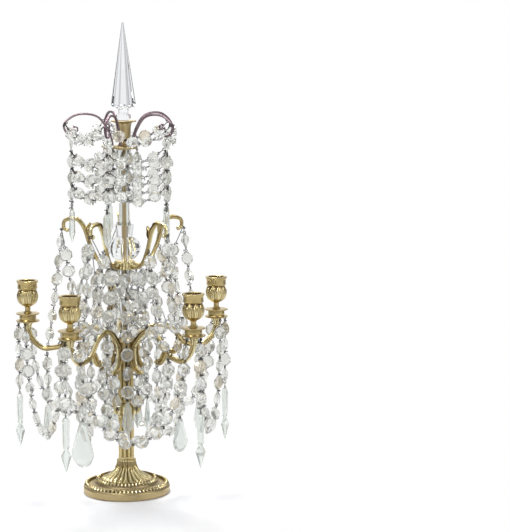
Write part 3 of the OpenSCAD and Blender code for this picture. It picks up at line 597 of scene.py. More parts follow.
def base_pieces():
    band = [(ROD_HOLE, RECESS_H), (RECESS_R, RECESS_H), (RECESS_R, 0)]
    band += stepped(
        highest("base_plate")[0], 0,
        (2, 0), (0.5, 0.6), (0, 2), (0, 9.6), (0.4, 10.2), (0.9, 10.2), (0.9, 10.7), (0.5, 11), (1.4, 12))
    for a in np.linspace(0, math.pi / 2, 9):
        band.append((COVE_R - COVE_W * math.sin(a), BASE_H - COVE_H * math.cos(a)))
    band.append((ROD_HOLE, BASE_H))

    # The cove, and all else inside the outer band, is painted darker as shade and comes out rougher with it
    def shaded_dull_step(radius, z, th):
        return 0 * radius, np.where(radius > COVE_R + 1, 0.58, 0.3)

    turned("base_band", "base_plate", TURNED, band, sides=180, carve=shaded_dull_step)
    for name, node, grown, sunk, count, width, slope in (
            ("base_leaf_border", "base_leaf_ring", 1.6, 0.0, 64, 6.0,
             ((0, 0), (0.1, 0.8), (1.4, 2.6), (3, 3.6), (5, 4), (6.4, 3), (6.8, 0))),
            ("base_pearl_border", "base_bead_ring", 0.8, 0.6, 50, 5.6,
             ((0, 0), (0.1, 1), (1.2, 2.8), (2.6, 4.4), (4.6, 5.6), (6, 4.6), (6.4, 0)))):
        z, outer = lowest(node)[2] - sunk, highest(node)[0] + grown
        border = leaf_and_pearl(count, outer, width)
        turned(name, node, CAST, stepped(outer, z, *slope), sides=12 * count, carve=border, step=0.5)


def bulge(neck, r, z0, z1, angles, share=1.0):
    """Round swelling from a neck, over a share of the way between two heights."""
    middle, half = (z0 + z1) / 2, share * (z1 - z0) / 2
    return [(neck + (r - neck) * math.cos(a), middle + half * math.sin(a)) for a in angles]


def foot_flutes(z0, z1):
    """Flutes that rise from the rim of the foot, and a ring of leaves that hangs from its top."""
    low = z0 + FOOT_RIM

    def carve(radius, z, th):
        u = np.clip((z - low) / (z1 - low), 0, 1)
        on = np.clip((z - low - 0.1) / 2, 0, 1) * (radius > 6)
        wave = np.abs(np.sin(FOOT_LEAVES * th))
        s, rib = wave ** 0.55, ridge(wave - 1, 0.1)
        # The flute hollows are painted dark as shade and their crests lighter; the leaves get a dark ground
        # with a painted highlight on edges and veins
        depth = on * ((1.6 * (1 - u) + 0.8) * (s - 1) + 0.35 * rib)
        shade = PLAIN + on * (0.75 * s + 0.3 * rib - 0.62)
        reach = np.clip((u - 0.58) / 0.42, 0, 1)
        f = from_middle(FOOT_LEAVES, th)
        half = 0.96 * np.sqrt(reach)
        leaf_on = on * (f < half) * (reach > 0) > 0
        edge = ridge(f / np.maximum(half, 0.05) - 0.82, 0.14)
        vein = ridge(f, 0.12)
        depth = np.where(leaf_on, 1.5 + 0.3 * edge + 0.3 * vein, depth)
        return depth, np.where(leaf_on, 0.2 + 0.65 * edge + 0.5 * vein, shade)
    return carve


def foot_pieces():
    z0, z1, r = measures("spreading_foot")
    low = z0 + FOOT_RIM
    foot = stepped(r, z0, (0, 0), (0, 1.9), (0.6, FOOT_RIM))
    for u in np.linspace(0, 1, 17):
        foot.append((FOOT_TOP_R + (r - 1.5 - FOOT_TOP_R) * (1 - u) ** 2.2, low + (z1 - low) * u))
    line = bored(z0, z1, foot)
    turned("fluted_foot", "spreading_foot", CAST, line, sides=480, carve=foot_flutes(z0, z1), step=0.8)

    z0, z1, r = measures("foot_collar")
    ring = bulge(r - 1.2, r + 0.8, z0, z1, np.linspace(-1.4, 1.4, 11))
    carve = lobes(count=24, depth=0.7)
    turned("foot_collar_ring", "foot_collar", CAST, bored(z0, z1, ring), sides=240, carve=carve)


# Metal of the stem

REEDS, COLUMN_R, REED_END = 10, 11.0, 3
KNOP_NECK = 12


def reeds(z0, z1):
    """Round reeds side by side that stop short of both ends of a column."""
    spread = 0.96 * math.sin(math.pi / REEDS)
    half = COLUMN_R * spread / (1 + spread)
    at = COLUMN_R - half

    def carve(radius, z, th):
        d = ((th * REEDS / TURN + 0.5) % 1 - 0.5) * TURN / REEDS
        reach = at * np.cos(d) + np.sqrt(np.clip(half ** 2 - (at * np.sin(d)) ** 2, 0, None))
        inside = np.minimum(z - z0, z1 - z) - REED_END
        on = np.clip(inside / 1.2, 0, 1) * (radius > 5)
        depth = on * (np.maximum(reach, at) - COLUMN_R)
        # The hollows between the reeds are painted darker as shade
        return depth, 0.7 + depth * 0.28
    return carve


def stem_pieces():
    for node in ("lower_column", "upper_column"):
        z0, z1, _ = measures(node)
        line = like_ends(COLUMN_R, z0, z1, (0.6, 0), (0, 0.6), (0, 2.2), (0.1, REED_END))
        turned(node.replace("_", "_reeded_"), node, CAST, line, sides=240, carve=reeds(z0, z1))

    z0, z1, r = measures("knop")
    swell = bulge(KNOP_NECK, r, z0, z1, np.radians(np.linspace(-80, 80, 17)), 0.98)
    line = bored(z0, z1, [(KNOP_NECK, z0)] + swell + [(KNOP_NECK, z1)])
    turned("lobed_knop", "knop", CAST, line, sides=240, carve=lobes(count=16, depth=1.3))

    z0, z1, r = measures("arm_hub")
    line = like_ends(r, z0, z1, (3, 0), (2.2, 0.8), (1.2, 2.2), (0, 3), (0, 4), (0.9, 4.6))
    turned("arm_hub_turning", "arm_hub", TURNED, line, sides=160)

    z0, z1, r = measures("branch_hub")
    cup = stepped(r, z0, (2, 0), (0.6, 0.7), (0, 2), (1.6, 3), (3, 4)) + stepped(r, z1, (3, -2), (5, 0))
    carve = lobes(count=20, depth=0.5, sharp=0.5)
    turned("branch_hub_casting", "branch_hub", CAST, bored(z0, z1, cup), sides=160, carve=carve)


# Arms, pans and cups

PAN_R, DRUM_R, STUD_R, STUD_H = 16.5, 11.5, 2.5, 9
SOCKET_R, SOCKET_Z = 11.25, 24
CUP_LEAVES, LEAVES_FROM, LEAVES_TO = 9, 10.4, 33.5
LEAF_HALF = 5.0


def pan_place(azimuth):
    a = math.radians(azimuth)
    return ARM_REACH * math.cos(a), ARM_REACH * math.sin(a)


def candle_arms():
    over = [(r, z, LEAF_HALF) for r, z, half in ARM[:4]]
    shapes = [
        bar(ARM, cast_bar, sides=28, start=OUTWARD, end=UPWARD),
        bar(BRACKET, cast_bar, sides=28),
        bar(TURNED_LEAF, cast_bar, sides=28),
        leaf(over, lobes=4, cup=2.4, lift=4.2),
        leaf(widened(TURNED_LEAF, 2.1), lobes=3, cup=1.6, lift=-2.6),
        leaf(widened(BRACKET[1:], 1.9), lobes=3, cup=1.4, lift=-2.4),
        ball(BRACKET[-1], lift=(0, 0.5), radius=2.6, relief=0.75),
        ball(TURNED_LEAF[-1], lift=(0, 0.4), radius=2.2, relief=0.75)]
    calyx = raised(PAN_Z, (4.2, -11), (4.8, -9), (5.4, -6), (7, -2.6), (9.4, -0.5), (9.2, -0.1), (4, -0.1))
    for k, azimuth in enumerate(arm_azimuth, 1):
        arm = Stock().add_round(shapes, azimuth)
        arm.add(*lathe(calyx, 96, lobes(count=8, depth=0.8), step=0.8, at=pan_place(azimuth)))
        arm.make(f"scrolled_arm_{k}", "stand", CAST, "brass", f"candle_arm_{k}")


def drip_pans():
    pans = Stock()
    line = [(STUD_R, PAN_Z)] + stepped(PAN_R, PAN_Z, (1.6, 0), (0.5, 0.3), (0, 0.9), (0, 1.6), (0.7, 2.1))
    line += stepped(
        DRUM_R, PAN_Z,
        (-0.9, 2.2), (-0.6, 2.8), (0, 3.1), (-0.3, 6.3), (0, 9.5), (-0.6, 9.8), (-0.8, 10.4))
    line += stepped(PAN_R, PAN_Z, (0.9, 10.5), (0, 11), (0, 11.7), (0.5, 12.2), (1.6, 12.1))
    line += raised(PAN_Z, (9, 12.5), (STUD_R, 12.6))
    for azimuth in arm_azimuth:
        pans.add(*lathe(line, 96, at=pan_place(azimuth)))
    pans.make("turned_drip_pans", "stand", CAST, "brass", "drip_pans")


def cup_leaves(z0, z1):
    """Two rows of pointed leaves up a bowl, the lower row in front of the gaps of the taller."""
    def carve(radius, z, th):
        t = np.clip((z - z0) / (z1 - z0), 0, 1)
        on = (z > z0) & (z < z1) & (radius > 6)
        # Painted shade darkens the ground between the leaves; the leaf edges and midribs are painted lighter
        # as a highlight
        depth, shade = np.zeros(radius.shape), np.full(radius.shape, 0.16)
        for shift, reach, rise in ((0.5, 1.0, 0.55), (0.0, 0.8, 0.85)):
            f = from_middle(CUP_LEAVES, th, shift)
            u = t / reach
            wide = np.clip(0.98 * np.clip(1 - u ** 2.6, 0, 1) ** 0.5, 0.02, 1)
            edge = ridge(f / wide - 0.8, 0.14)
            rib = ridge(f, 0.12) * (u < 0.85)
            here = ((f < wide) & (u < 1)) * (rise + 0.28 * edge + 0.25 * rib)
            shade = np.where(here > depth, 0.34 + 0.66 * edge + 0.5 * rib, shade)
            depth = np.maximum(depth, here)
        return on * (depth - 1.0), np.where(on, shade, 0.62)
    return carve


def candle_cups():
    cup = [(STUD_R, 0), (5.6, 0), (6, 0.6), (5.2, 1.6), (3.9, 2.6), (3.7, 5), (3.9, 8.4), (5.4, 9.6)]
    for a in np.radians(np.arange(-60, 46, 7.5)):
        cup.append((6 + 9 * math.cos(a), 10 + 25 * (0.55 + 0.52 * math.sin(a))))
    cup += [
        (13.6, 34.6), (14.1, 35.2), (14.1, 36), (13.7, 36.4), (13.7, 41.4), (14.1, 42.2), (15, 44),
        (15.4, 45), (15.4, 45.7), (15, 46), (12, 46), (SOCKET_R, 45.4), (SOCKET_R, SOCKET_Z),
        (AXIS, SOCKET_Z), (AXIS, STUD_H), (STUD_R, STUD_H)]
    for k, azimuth in enumerate(arm_azimuth, 1):
        node = f"candle_cup_{k}"
        z = lowest(node)[2]
        leaves = cup_leaves(z + LEAVES_FROM, z + LEAVES_TO)
        turned(f"leaf_cup_{k}", node, CAST, raised(z, *cup), 216, leaves, step=0.6, at=pan_place(azimuth))


# Upper tiers

def upper_branches():
    shapes = [
        bar(BRANCH, cast_bar, sides=24, start=OUTWARD),
        bar(BRANCH_LEAF, cast_bar, sides=24),
        leaf(widened(BRANCH[4:8], 1.7), lobes=4, cup=1.2, lift=2.9),
        leaf(widened(BRANCH_LEAF, 1.8), lobes=2, cup=0.9, lift=2.0),
        ball(BRANCH[-1], lift=(0, 0.4), radius=3.2, relief=0.8)]
    branches = Stock()
    for azimuth in arm_azimuth:
        branches.add_round(shapes, azimuth)
    branches.make("scrolled_branches", "stand", CAST, "brass", "upper_branches")


def crown_pieces():
    z0, z1, r = measures("crown_plate")
    line = like_ends(r, z0, z1, (1.4, 0), (0.3, 0.5), (0, 1.2))
    turned("crown_disc", "crown_plate", TURNED, line, sides=120)

    z0, z1, _ = measures("crown_neck")
    neck = raised(z0, (7.6, 0), (8, 0.5), (8, 1.6), (7, 2.4), (5.6, 4))
    neck += raised(z1, (5.4, -3), (6, -1.2), (7, 0))
    turned("crown_neck_turning", "crown_neck", TURNED, bored(z0, z1, neck), sides=96)

    shapes = [
        bar(SCROLL, twin_wire, sides=20, start=UPWARD),
        ball(SCROLL[-1], lift=(0.6, 0), radius=SCROLL_HALF, relief=0.7)]
    scrolls = Stock()
    for azimuth in crown_azimuth:
        scrolls.add_round(shapes, azimuth)
    scrolls.make("crown_wire_scrolls", "stand", BRONZE, "bronze", "crown_scrolls")

    z0, z1, r = measures("finial_socket")
    socket = raised(z0, (ROD_HOLE, 0), (8.2, 0), (8.5, 0.7), (8.2, 1.6), (9.5, 2.4), (9.8, 3.2), (9.6, 4))
    socket += raised(z1, (10.2, -8), (11, -4.4), (12.2, -3))
    socket += stepped(r, z1, (1.6, -1.7), (0.4, -1.5), (0, -0.8), (0.5, 0))
    socket += raised(z1, (7, 0), (7, -18), (AXIS, -18), (AXIS, -21), (ROD_HOLE, -21))
    turned("finial_cup", "finial_socket", TURNED, socket, sides=120)


# Glass of the stem

SPIRE_SIDES, SPIRE_R, SPIRE_LOW = 8, 18.0, 38
SPIRE_PIN_R, SPIRE_PIN_H = 6.5, 18


def stem_glass():
    z0, z1, r = measures("glass_spindle")
    waist = [(r * (0.79 + 0.2 * math.cos(2 * TURN * u)), z0 + (z1 - z0) * u) for u in np.linspace(0, 1, 25)]
    line = bored(z0, z1, waist, GLASS_HOLE)
    turned("cut_spindle", "glass_spindle", CLEAR, line, sides=12, step=0, slot="glass", sharp=None)

    z0, z1, r = measures("glass_bowl")
    h, neck, foot = z1 - z0, 2 * r * 0.26, math.radians(70)
    bowl = [(0.985 * r * math.cos(a), z0 + 0.35 * h * (1 + math.sin(a) / math.sin(foot)))
            for a in np.linspace(-foot, math.radians(60), 8)]
    bowl += [(neck, z0 + 0.78 * h), (neck + 1.3, z1 - 2), (neck + 1.3, z1)]
    line = bored(z0, z1, bowl, GLASS_HOLE)
    turned("cut_bowl", "glass_bowl", CLEAR, line, sides=14, step=0, slot="glass", sharp=None)

    z0, z1, r = measures("glass_tube")
    line = stepped(r, z0, (3.4, 0), (0.6, 0), (0, 0.8), (1.2, 6)) + [(r - 1.6, (z0 + z1) / 2)]
    line += stepped(r, z1, (1.2, -6), (0, -1), (1, 0), (3.4, 0))
    turned("blown_tube", "glass_tube", BLOWN, line, sides=72, slot="glass")

    z0, z1, r = measures("glass_bell")
    flare = [(r * (0.62 + 0.38 * u ** 1.6), z0 + 4 + (z1 - z0 - 6) * u) for u in np.linspace(0, 1, 13)]

    def ribs(radius, z, th):
        on = np.clip((z - z0 - 5) / 4, 0, 1) * (radius > 4.5)
        return on * 0.55 * (np.abs(np.sin(7 * th)) ** 0.7 - 1), PLAIN + 0 * th

    bell = [(0.85 * r, z0), (0.85 * r, z0 + 3)] + flare + [(r - 2, z1)]
    line = bored(z0, z1, bell, GLASS_HOLE)
    turned("ribbed_bell", "glass_bell", BLOWN, line, sides=112, carve=ribs, slot="glass")


def spire():
    """Pin, ball and flared foot turned in one, with a faceted point on top whose narrow bevels carry painted
    grey shade.
    """
    z0, z1, _ = measures("finial_spire")
    rim, low = z0 + SPIRE_PIN_H, z0 + SPIRE_LOW
    line = [(AXIS, z0), (SPIRE_PIN_R, z0), (SPIRE_PIN_R, rim + 0.4)]
    for a in np.radians(np.arange(-80, 71, 15)):
        line.append((SPIRE_PIN_R + 3.9 * math.cos(a), rim + 5.25 + 4.7 * math.sin(a)))
    for u in np.linspace(0, 1, 9):
        line.append((6.8 + (SPIRE_R * 0.9 - 7.2) * u * u, rim + 11 + 8 * math.sin(math.pi / 2 * u)))
    glass = Stock().add(*lathe(line + [(AXIS, low - 0.7)], 64))
    rings = [
        (SPIRE_R - 2.6, low - 0.6, 0.1), (SPIRE_R - 0.1, low + 0.9, 0.07), (SPIRE_R - 0.2, low + 2, 0.07),
        (1.3, z1 - 1.4, 0.2), (0.5, z1 - 0.2, 0.2)]
    edge = (np.arange(SPIRE_SIDES) + 0.5) * TURN / SPIRE_SIDES
    points = []
    for r, z, bevel in rings:
        a = np.stack([edge - bevel, edge + bevel], -1)
        corner = np.stack([r * np.cos(a), r * np.sin(a), 0 * a + z], -1)
        ahead = np.roll(corner[:, :1], -1, 0)
        facet = [corner[:, 1:] + (ahead - corner[:, 1:]) * f for f in (0.05, 0.95)]
        points.append(np.concatenate([corner] + facet, 1).reshape(-1, 3))
    # The bevels take the grey second colour as painted shade along the edges
    bevel_shade = np.tile((1.0, 1.0, 0.0, 0.0), len(rings) * SPIRE_SIDES)
    glass.add(np.concatenate(points), capped(len(rings), 4 * SPIRE_SIDES), tint=bevel_shade)
    glass.make("faceted_spire", "finial_spire", SPIRE, "glass", "finial_spire", sharp=12)


# Beads and wires

BEAD_SIDES = 8


def bead_pattern():
    """Cut bead of inner radius 1 and half thickness 1: table, star and girdle facets on both faces."""
    n = BEAD_SIDES
    corner = (np.arange(n) + 0.5) * TURN / n
    flat = np.arange(n) * TURN / n
    big = 1 / math.cos(math.pi / n)
    front = [(corner, 0.52 * big, 1), (flat, 0.755, 0.6), (corner, 0.985 * big, 0.1)]
    rings = []
    for angle, r, y in front + [(angle, r, -y) for angle, r, y in front[::-1]]:
        rings.append(np.stack([r * np.cos(angle), np.full(n, y), r * np.sin(angle)], -1))
    faces = [tuple(range(n)), tuple(range(6 * n - 1, 5 * n - 1, -1))]
    for i in range(n):
        j = (i + 1) % n
        for table, star, edge in ((0, n, 2 * n), (5 * n, 4 * n, 3 * n)):
            faces += [
                (table + i, table + j, star + j), (table + i, star + j, edge + i),
                (table + i, edge + i, star + i), (star + j, edge + j, edge + i)]
        faces.append((2 * n + i, 2 * n + j, 3 * n + j, 3 * n + i))
    return np.concatenate(rings), faces


BEAD, BEAD_FACES = bead_pattern()
# A plain bead of the CAD model has this many points, and a wire eye has more than the second number.
BEAD_POINTS, EYE_POINTS = 24, 150


def cut_bead(points):
    """The detailed bead that stands where a plain one is."""
    centre = points.mean(0)
    _, _, axes = np.linalg.svd(points - centre)
    face = axes[2]
    height = (points - centre) @ face
    half = np.abs(height).max()
    corner = (points[np.abs(height) < 0.2 * half] - centre)[0]
    reach = np.linalg.norm(corner)
    angle = math.pi / BEAD_SIDES
    x = math.cos(angle) * corner / reach + math.sin(angle) * np.cross(face, corner / reach)
    radius = reach * math.cos(angle)
    frame_of_bead = np.array([radius * x, half * face, radius * np.cross(x, face)])
    return centre + BEAD @ frame_of_bead


def bead_tint():
    """A faint tint for most beads and a warm one for a few."""
    warm = dice.random() > 0.92
    return 0.55 + 0.45 * dice.random() if warm else 0.15 * dice.random()


def ends_of(points):
    centre = points.mean(0)
    _, _, axes = np.linalg.svd(points - centre)
    along = (points - centre) @ axes[0]
    return centre + along.min() * axes[0], centre + along.max() * axes[0]


LINK_WIRE, LINK_LOOP, LOOP_SHARE, LOOP_AT, LOOP_END = 0.56, 1.7, 0.34, 0.75, 1.7
CURL, CURLED, GIVE, SHORTEST = 1.2, 0.6, 0.35, 0.4
HOOK_WIRE, PIN_LENGTH, UPTURN = 0.45, 4.2, 0.7


def add_link(wires, a, b):
    """Wire of a strand: a shank that gives a little, with a loop and often a curled tail at each end."""
    d = b - a
    length = np.linalg.norm(d)
    d /= length
    side = np.cross(d, dice.normal(size=3))
    side /= np.linalg.norm(side)
    other = np.cross(d, side)
    loop = min(LINK_LOOP, LOOP_SHARE * length)
    u = np.linspace(0, TURN, 13)[:-1, None]
    v = np.linspace(0, 0.6 * TURN, 8)[:, None]
    for centre, sign, lean in ((a + d * loop * LOOP_AT, 1, side), (b - d * loop * LOOP_AT, -1, other)):
        ring = np.cos(u) * d + np.sin(u) * lean
        wires.add(*tube(centre + loop * ring, LINK_WIRE, sides=6, closed=True))
        if dice.random() < CURLED:
            out = centre + lean * (loop + CURL)
            tail = sign * np.sin(v) * d - np.cos(v) * lean
            wires.add(*tube(out + CURL * tail, LINK_WIRE, sides=6))
    start, stop = a + d * loop * LOOP_END, b - d * loop * LOOP_END
    if (stop - start) @ d > SHORTEST:
        t = np.linspace(0, 1, 7)[:, None]
        give = GIVE * np.sin(math.pi * t) * side * min(1, length / 12)
        wires.add(*tube(start + (stop - start) * t + give, LINK_WIRE, sides=6))


def add_eye(wires, centre, axis, radius):
    """Wire eye about a level pin along the axis."""
    side = np.cross(axis, [0, 0, 1.0])
    u = np.linspace(0, TURN, 17)[:-1, None]
    ring = np.cos(u) * side + np.sin(u) * np.cross(axis, side)
    wires.add(*tube(centre + radius * ring, HOOK_WIRE, sides=6, closed=True))


def hooks():
    """Each hook: a stem from above, a round bend and a pin that ends in a small upturn."""
    wires = Stock()
    up = np.array([0, 0, 1.0])
    for points in islands("drop_hooks"):
        low, high = points[:, 2].min(), points[:, 2].max()
        stem = points[points[:, 2] > high - 0.05].mean(0)
        base, head = (np.array([stem[0], stem[1], z]) for z in (low + 0.5, high))
        pin = points[points[:, 2] < base[2] + 0.6]
        far = pin[np.argmax(np.linalg.norm(pin[:, :2] - stem[:2], axis=1))]
        d = np.array([far[0] - stem[0], far[1] - stem[1], 0])
        d /= np.linalg.norm(d)
        line = [head]
        for a in np.linspace(0, math.pi / 2, 6):
            line.append(base + d * (1 - math.cos(a)) + up * (1 - math.sin(a)))
        line.append(base + d * 2.5)
        for a in np.linspace(0, 2.2, 6):
            line.append(base + d * (PIN_LENGTH + UPTURN * math.sin(a)) + up * UPTURN * (1 - math.cos(a)))
        wires.add(*tube(line, HOOK_WIRE, sides=8))
    wires.make("drop_hook_wires", "stand", WIRE, "wire", "drop_hooks")


# Shapes of the drops and rosettes

KITE_W, KITE_H, KITE_T = 17, 50, 9
SPEAR_W, SPEAR_H = 15, 76
PRISM_W, PRISM_H = 12, 46
PEAR, PLAQUE, PLAQUE_ARM, PEAR_T = (25, 46), (34, 64), 4, 7.4
DROP_SIDES, DROP_TIP = 6, (0.5, 0.4)
ROSETTE_TIPS, TIP_R, NOTCH_R = 8, 9.4, 6.4
EYE_R, EYE_DROP, EYE_H = 1.65, 1.7, 5


def faceted(w, h, rings, flatness, turn=0.0):
    """Drop cut from a flattened bar, face along X; rings hold shares of its width and of its height."""
    a = (np.arange(DROP_SIDES) + turn) * TURN / DROP_SIDES
    corner = math.cos(math.pi / DROP_SIDES) if turn else 1
    tip_r, tip_h = DROP_TIP
    rows = []
    for r, z in [(share * w, down * h) for share, down in rings] + [(tip_r, h - tip_h)]:
        k = r / corner
        rows.append(np.stack([flatness * k * np.cos(a), k * np.sin(a), 0 * a - z], -1))
    return np.concatenate(rows), capped(len(rows), DROP_SIDES)


def flat_drop(w, h, thick):
    """Pear-shaped plate with a bevel all round and a flat face on both sides; face along X."""
    right = [(0.12 * w, 0.0), (0.2 * w, 0.14 * h), (0.36 * w, 0.4 * h)]
    for a in np.radians(np.arange(0, 91, 15)):
        right.append((w / 2 * math.cos(a) + 0.3, 0.66 * h + 0.335 * h * math.sin(a)))
    outline = np.array(right + [(-x, z) for x, z in right[::-1]])
    middle = np.array([0, 0.56 * h])
    inner = middle + (outline - middle) * 0.82
    n = len(outline)
    rows = []
    for line, x in ((inner, thick / 2), (outline, thick * 0.1), (outline, -thick * 0.1), (inner, -thick / 2)):
        rows.append(np.stack([np.full(n, x), line[:, 0], -line[:, 1]], -1))
    return np.concatenate(rows), capped(len(rows), n)


def star():
    """Star cut in three steps on both sides; face along X."""
    n = 2 * ROSETTE_TIPS
    a = np.arange(n) * TURN / n
    tip = np.arange(n) % 2 == 0
    steps = [(0.34, 2.5, 1.12), (0.62, 1.5, 1.12), (1.0, 0.5, 1.0)]
    rows = []
    for scale, x, fill in steps + [(scale, -x, fill) for scale, x, fill in steps[::-1]]:
        r = scale * np.where(tip, TIP_R, NOTCH_R * fill)
        rows.append(np.stack([np.full(n, x), r * np.sin(a), r * np.cos(a)], -1))
    return np.concatenate(rows), capped(len(rows), n)


KITE = faceted(
    0.86 * KITE_W, KITE_H, [(0.12, 0), (0.34, 0.34), (0.49, 0.6), (0.49, 0.66)],
    flatness=KITE_T / KITE_W, turn=0.5)
SPEAR = faceted(
    SPEAR_W, SPEAR_H,
    [(0.22, 0), (0.36, 3 / SPEAR_H), (0.3, 0.53), (0.2, 0.575), (0.24, 0.59), (0.5, 0.69)], flatness=0.9)
PRISM = faceted(PRISM_W, PRISM_H, [(0.24, 0), (0.42, 4 / PRISM_H), (0.5, 0.72)], flatness=0.72)


# Strands

def fixed_beads():
    """Beads, kite drops and wires of the strands that do not move."""
    kites = []
    for part in ("crown", "stem", "arm"):
        beads = Stock()
        for points in islands(f"{part}_beads"):
            if len(points) == BEAD_POINTS and np.ptp(points[:, 2]) < KITE_H - 1:
                beads.add(cut_bead(points), BEAD_FACES, tint=bead_tint())
            else:
                kites.append(points)
        beads.make(f"{part}_bead_strands", "stand", CRYSTAL, "glass", f"{part}_beads", sharp=None)
    plates = Stock()
    shape, faces = KITE
    for points in kites:
        middle = (points.min(0) + points.max(0)) / 2
        top = np.append(middle[:2], points[:, 2].max())
        azimuth = math.degrees(math.atan2(middle[1], middle[0]))
        plates.add(swung(shape, azimuth) + top, faces, tint=0.1 * dice.random())
    plates.make("kite_drops", "stand", DROP, "glass", sharp=None)
    wires = Stock()
    for points in islands("strand_wires"):
        add_link(wires, *ends_of(points))
    wires.make("strand_links", "stand", WIRE, "wire", "strand_wires")


def rosettes():
    stars = Stock()
    shape, faces = star()
    places = sorted(islands("crown_rosettes"), key=lambda p: math.atan2(*p.mean(0)[1::-1]) % TURN)
    for azimuth, points in zip(crown_azimuth, places):
        centre = (points.min(0) + points.max(0)) / 2
        stars.add(swung(shape, azimuth) + centre, faces, tint=0.15 * dice.random())
    stars.make("star_rosettes", "stand", CRYSTAL, "glass", "crown_rosettes", sharp=None)


def hanging(node, name, azimuth, drop=None):
    """A moving strand: its beads, its wires and the drop at its end, cut new where the plain ones are."""
    beads, wires = Stock(), Stock()
    pin = math.radians(azimuth + 90)
    solids = islands(node)
    tall = max(solids, key=lambda p: np.ptp(p[:, 2])) if drop else None
    for points in solids:
        low, high = points.min(0), points.max(0)
        if points is tall:
            shape, faces = drop
            top = np.append((low + high)[:2] / 2, high[2])
            glass = Stock().add(swung(shape, azimuth) + top, faces, tint=0.1 * dice.random())
            glass.make(name + "_drop", node, DROP, "glass", sharp=None)
        elif len(points) == BEAD_POINTS:
            beads.add(cut_bead(points), BEAD_FACES, tint=bead_tint())
        elif len(points) > EYE_POINTS:
            crest = points[points[:, 2] > high[2] - 0.6].mean(0) - np.array([0, 0, EYE_DROP])
            add_eye(wires, crest, np.array([math.cos(pin), math.sin(pin), 0]), EYE_R)
            if high[2] - low[2] > EYE_H:
                add_link(wires, crest - np.array([0, 0, 1.4]), np.array([crest[0], crest[1], low[2]]))
        else:
            add_link(wires, *ends_of(points))
    if beads.count:
        beads.make(name + "_beads", node, CRYSTAL, "glass", sharp=None)
    wires.make(name + "_wires", node, WIRE, "wire", node)


def drops():
    for k, (a, c) in enumerate(zip(arm_azimuth, crown_azimuth), 1):
        hanging(f"crown_drop_{k}", f"crown_prism_{k}", c, PRISM)
        hanging(f"spear_drop_{k}", f"spear_strand_{k}", a, SPEAR)
        pear = PLAQUE if k == PLAQUE_ARM else PEAR
        hanging(f"pear_drop_{k}", f"pear_strand_{k}", a, flat_drop(*pear, PEAR_T))
        hanging(f"garland_{k}", f"garland_strand_{k}", a + 180 / LIGHTS)


def inner_metal():
    for node, finish in (("base_washer", STEEL), ("base_nut", STEEL), ("tie_rod", ROD)):
        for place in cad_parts[node].material_slots:
            place.material = finish


base_pieces()
foot_pieces()
stem_pieces()
candle_arms()
drip_pans()
candle_cups()
upper_branches()
crown_pieces()
stem_glass()
spire()
fixed_beads()
hooks()
rosettes()
drops()
inner_metal()


# Studio, in metres

LENS, SENSOR, BOUNCES = 131.1, 36, 24
CAMERA_PLACE, CAMERA_TILT, CAMERA_TURN = (-0.2133, -2.6757, 0.6852), 7.72, -8.44


def floor_finish():
    """Pale floor that keeps the shadow near the foot and is plain white further out."""
    f = Finish("white_studio_floor")
    far = f.node("ShaderNodeVectorMath", {"operation": "LENGTH"}, {0: f.place()}, "Value")
    out = f.ramp(far, (0.11, BLACK), (0.3, WHITE))
    tone = f.ramp(f.noise(scale=3, detail=2), (0.3, (0.72, 0.72, 0.74, 1)), (0.7, (0.75, 0.75, 0.77, 1)))
    lit = f.surface(Base_Color=tone, Roughness=0.9)
    white, pale = (f.node("ShaderNodeEmission", None, {"Color": WHITE, "Strength": s}) for s in (1.0, 0.94))
    seen = f.ray("Camera")
    shiny = f.ray("Glossy") + f.ray("Transmission")
    return f.done(f.blend((seen + shiny) * out, lit, f.blend(seen, pale, white)))


def flag_finish(tone):
    f = Finish("studio_flag")
    shade = f.ramp(f.noise(scale=2, detail=1), (0.3, grey(tone)), (0.7, grey(1.15 * tone)))
    return f.done(f.surface(Base_Color=shade, Roughness=1.0))


def aimed(name, data, place, target, front):
    """Something of the studio, set in its place with its front towards the target."""
    piece = bpy.data.objects.new(name, data)
    scene.collection.objects.link(piece)
    piece.location = place
    piece.rotation_euler = (Vector(target) - Vector(place)).to_track_quat(front, "Y").to_euler()
    return piece


def card(name, width, height, place, target, finish):
    mesh = bpy.data.meshes.new(name)
    w, h = width / 2, height / 2
    mesh.from_pydata([(-w, -h, 0), (w, -h, 0), (w, h, 0), (-w, h, 0)], [], [(0, 1, 2, 3)])
    mesh.materials.append(finish)
    piece = aimed(name, mesh, place, target, "Z")
    return piece


def lamp(name, place, target, size, power):
    light = bpy.data.lights.new(name, "AREA")
    light.shape, light.size, light.energy = "DISK", size, power
    aimed(name, light, place, target, "-Z").visible_camera = False


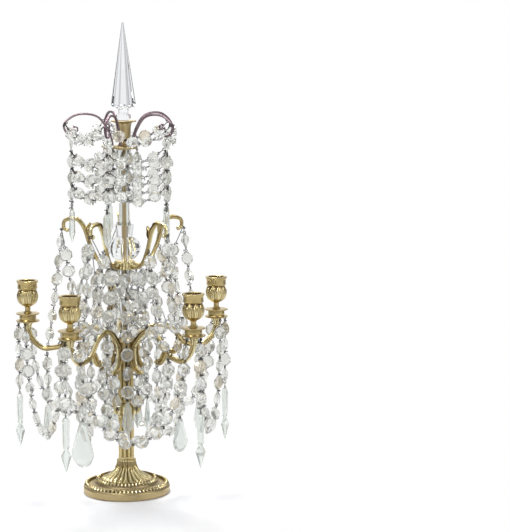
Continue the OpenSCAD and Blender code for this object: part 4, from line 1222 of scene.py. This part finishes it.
def backdrop():
    """White to the camera; to metal and glass a tent, white behind and above and grey towards the camera."""
    f = Finish("white_studio", bpy.data.worlds)
    way = f.node("ShaderNodeTexCoord", out="Generated")
    depth, height = (f.node("ShaderNodeSeparateXYZ", None, {0: way}, axis) for axis in ("Y", "Z"))
    tent = f.ramp(
        depth * 0.4 + height * 0.25 + 0.45,
        (0.05, (0.34, 0.34, 0.35, 1)), (0.4, (0.64, 0.64, 0.65, 1)), (0.85, WHITE))
    white, soft, tented = (
        f.node("ShaderNodeBackground", None, {"Color": colour, "Strength": strength})
        for colour, strength in ((WHITE, 1.0), (WHITE, 0.55), (tent, 1.0)))
    other = f.blend(f.ray("Glossy") + f.ray("Transmission"), soft, tented)
    return f.done(f.blend(f.ray("Camera"), other, white), "ShaderNodeOutputWorld")


def studio():
    """Floor, lamps and dark cards that only reflections and the glass see."""
    floor = card("studio_floor", 12, 12, (0, 0, 0), (0, 0, 1), floor_finish())
    floor.rotation_euler = (0, 0, 0)
    dark = flag_finish(0.06)
    for name, width, height, place in (
            ("flag_left", 0.6, 1.5, (-1.15, 0.35, 0.55)), ("flag_right", 0.6, 1.5, (1.15, 0.3, 0.55)),
            ("flag_front", 0.9, 0.35, (0.1, -1.5, 1.35)), ("flag_back_left", 0.3, 1.4, (-0.75, 0.9, 0.6)),
            ("flag_back_right", 0.3, 1.4, (0.85, 0.85, 0.6))):
        flag = card(name, width, height, place, (0, 0, 0.35), dark)
        flag.visible_camera = False
        flag.visible_diffuse = False
        flag.visible_shadow = False
    lamp("key_lamp", (-1.2, -1.5, 2.1), (0, 0, 0.3), size=1.0, power=30)
    lamp("fill_lamp", (1.6, -1.3, 1.3), (0, 0, 0.3), size=1.3, power=12)
    lamp("top_lamp", (-0.06, 0.8, 2.2), (0, 0, 0.2), size=0.6, power=50)
    scene.world = backdrop()


def camera():
    data = bpy.data.cameras.new("photograph_view")
    data.lens, data.sensor_width = LENS, SENSOR
    eye = bpy.data.objects.new("photograph_view", data)
    scene.collection.objects.link(eye)
    eye.location = CAMERA_PLACE
    eye.rotation_euler = (math.radians(90 - CAMERA_TILT), 0, math.radians(CAMERA_TURN))
    scene.camera = eye


studio()
camera()
scene.view_settings.view_transform = "Standard"
scene.cycles.max_bounces = BOUNCES
scene.cycles.transmission_bounces = BOUNCES
scene.cycles.transparent_max_bounces = BOUNCES
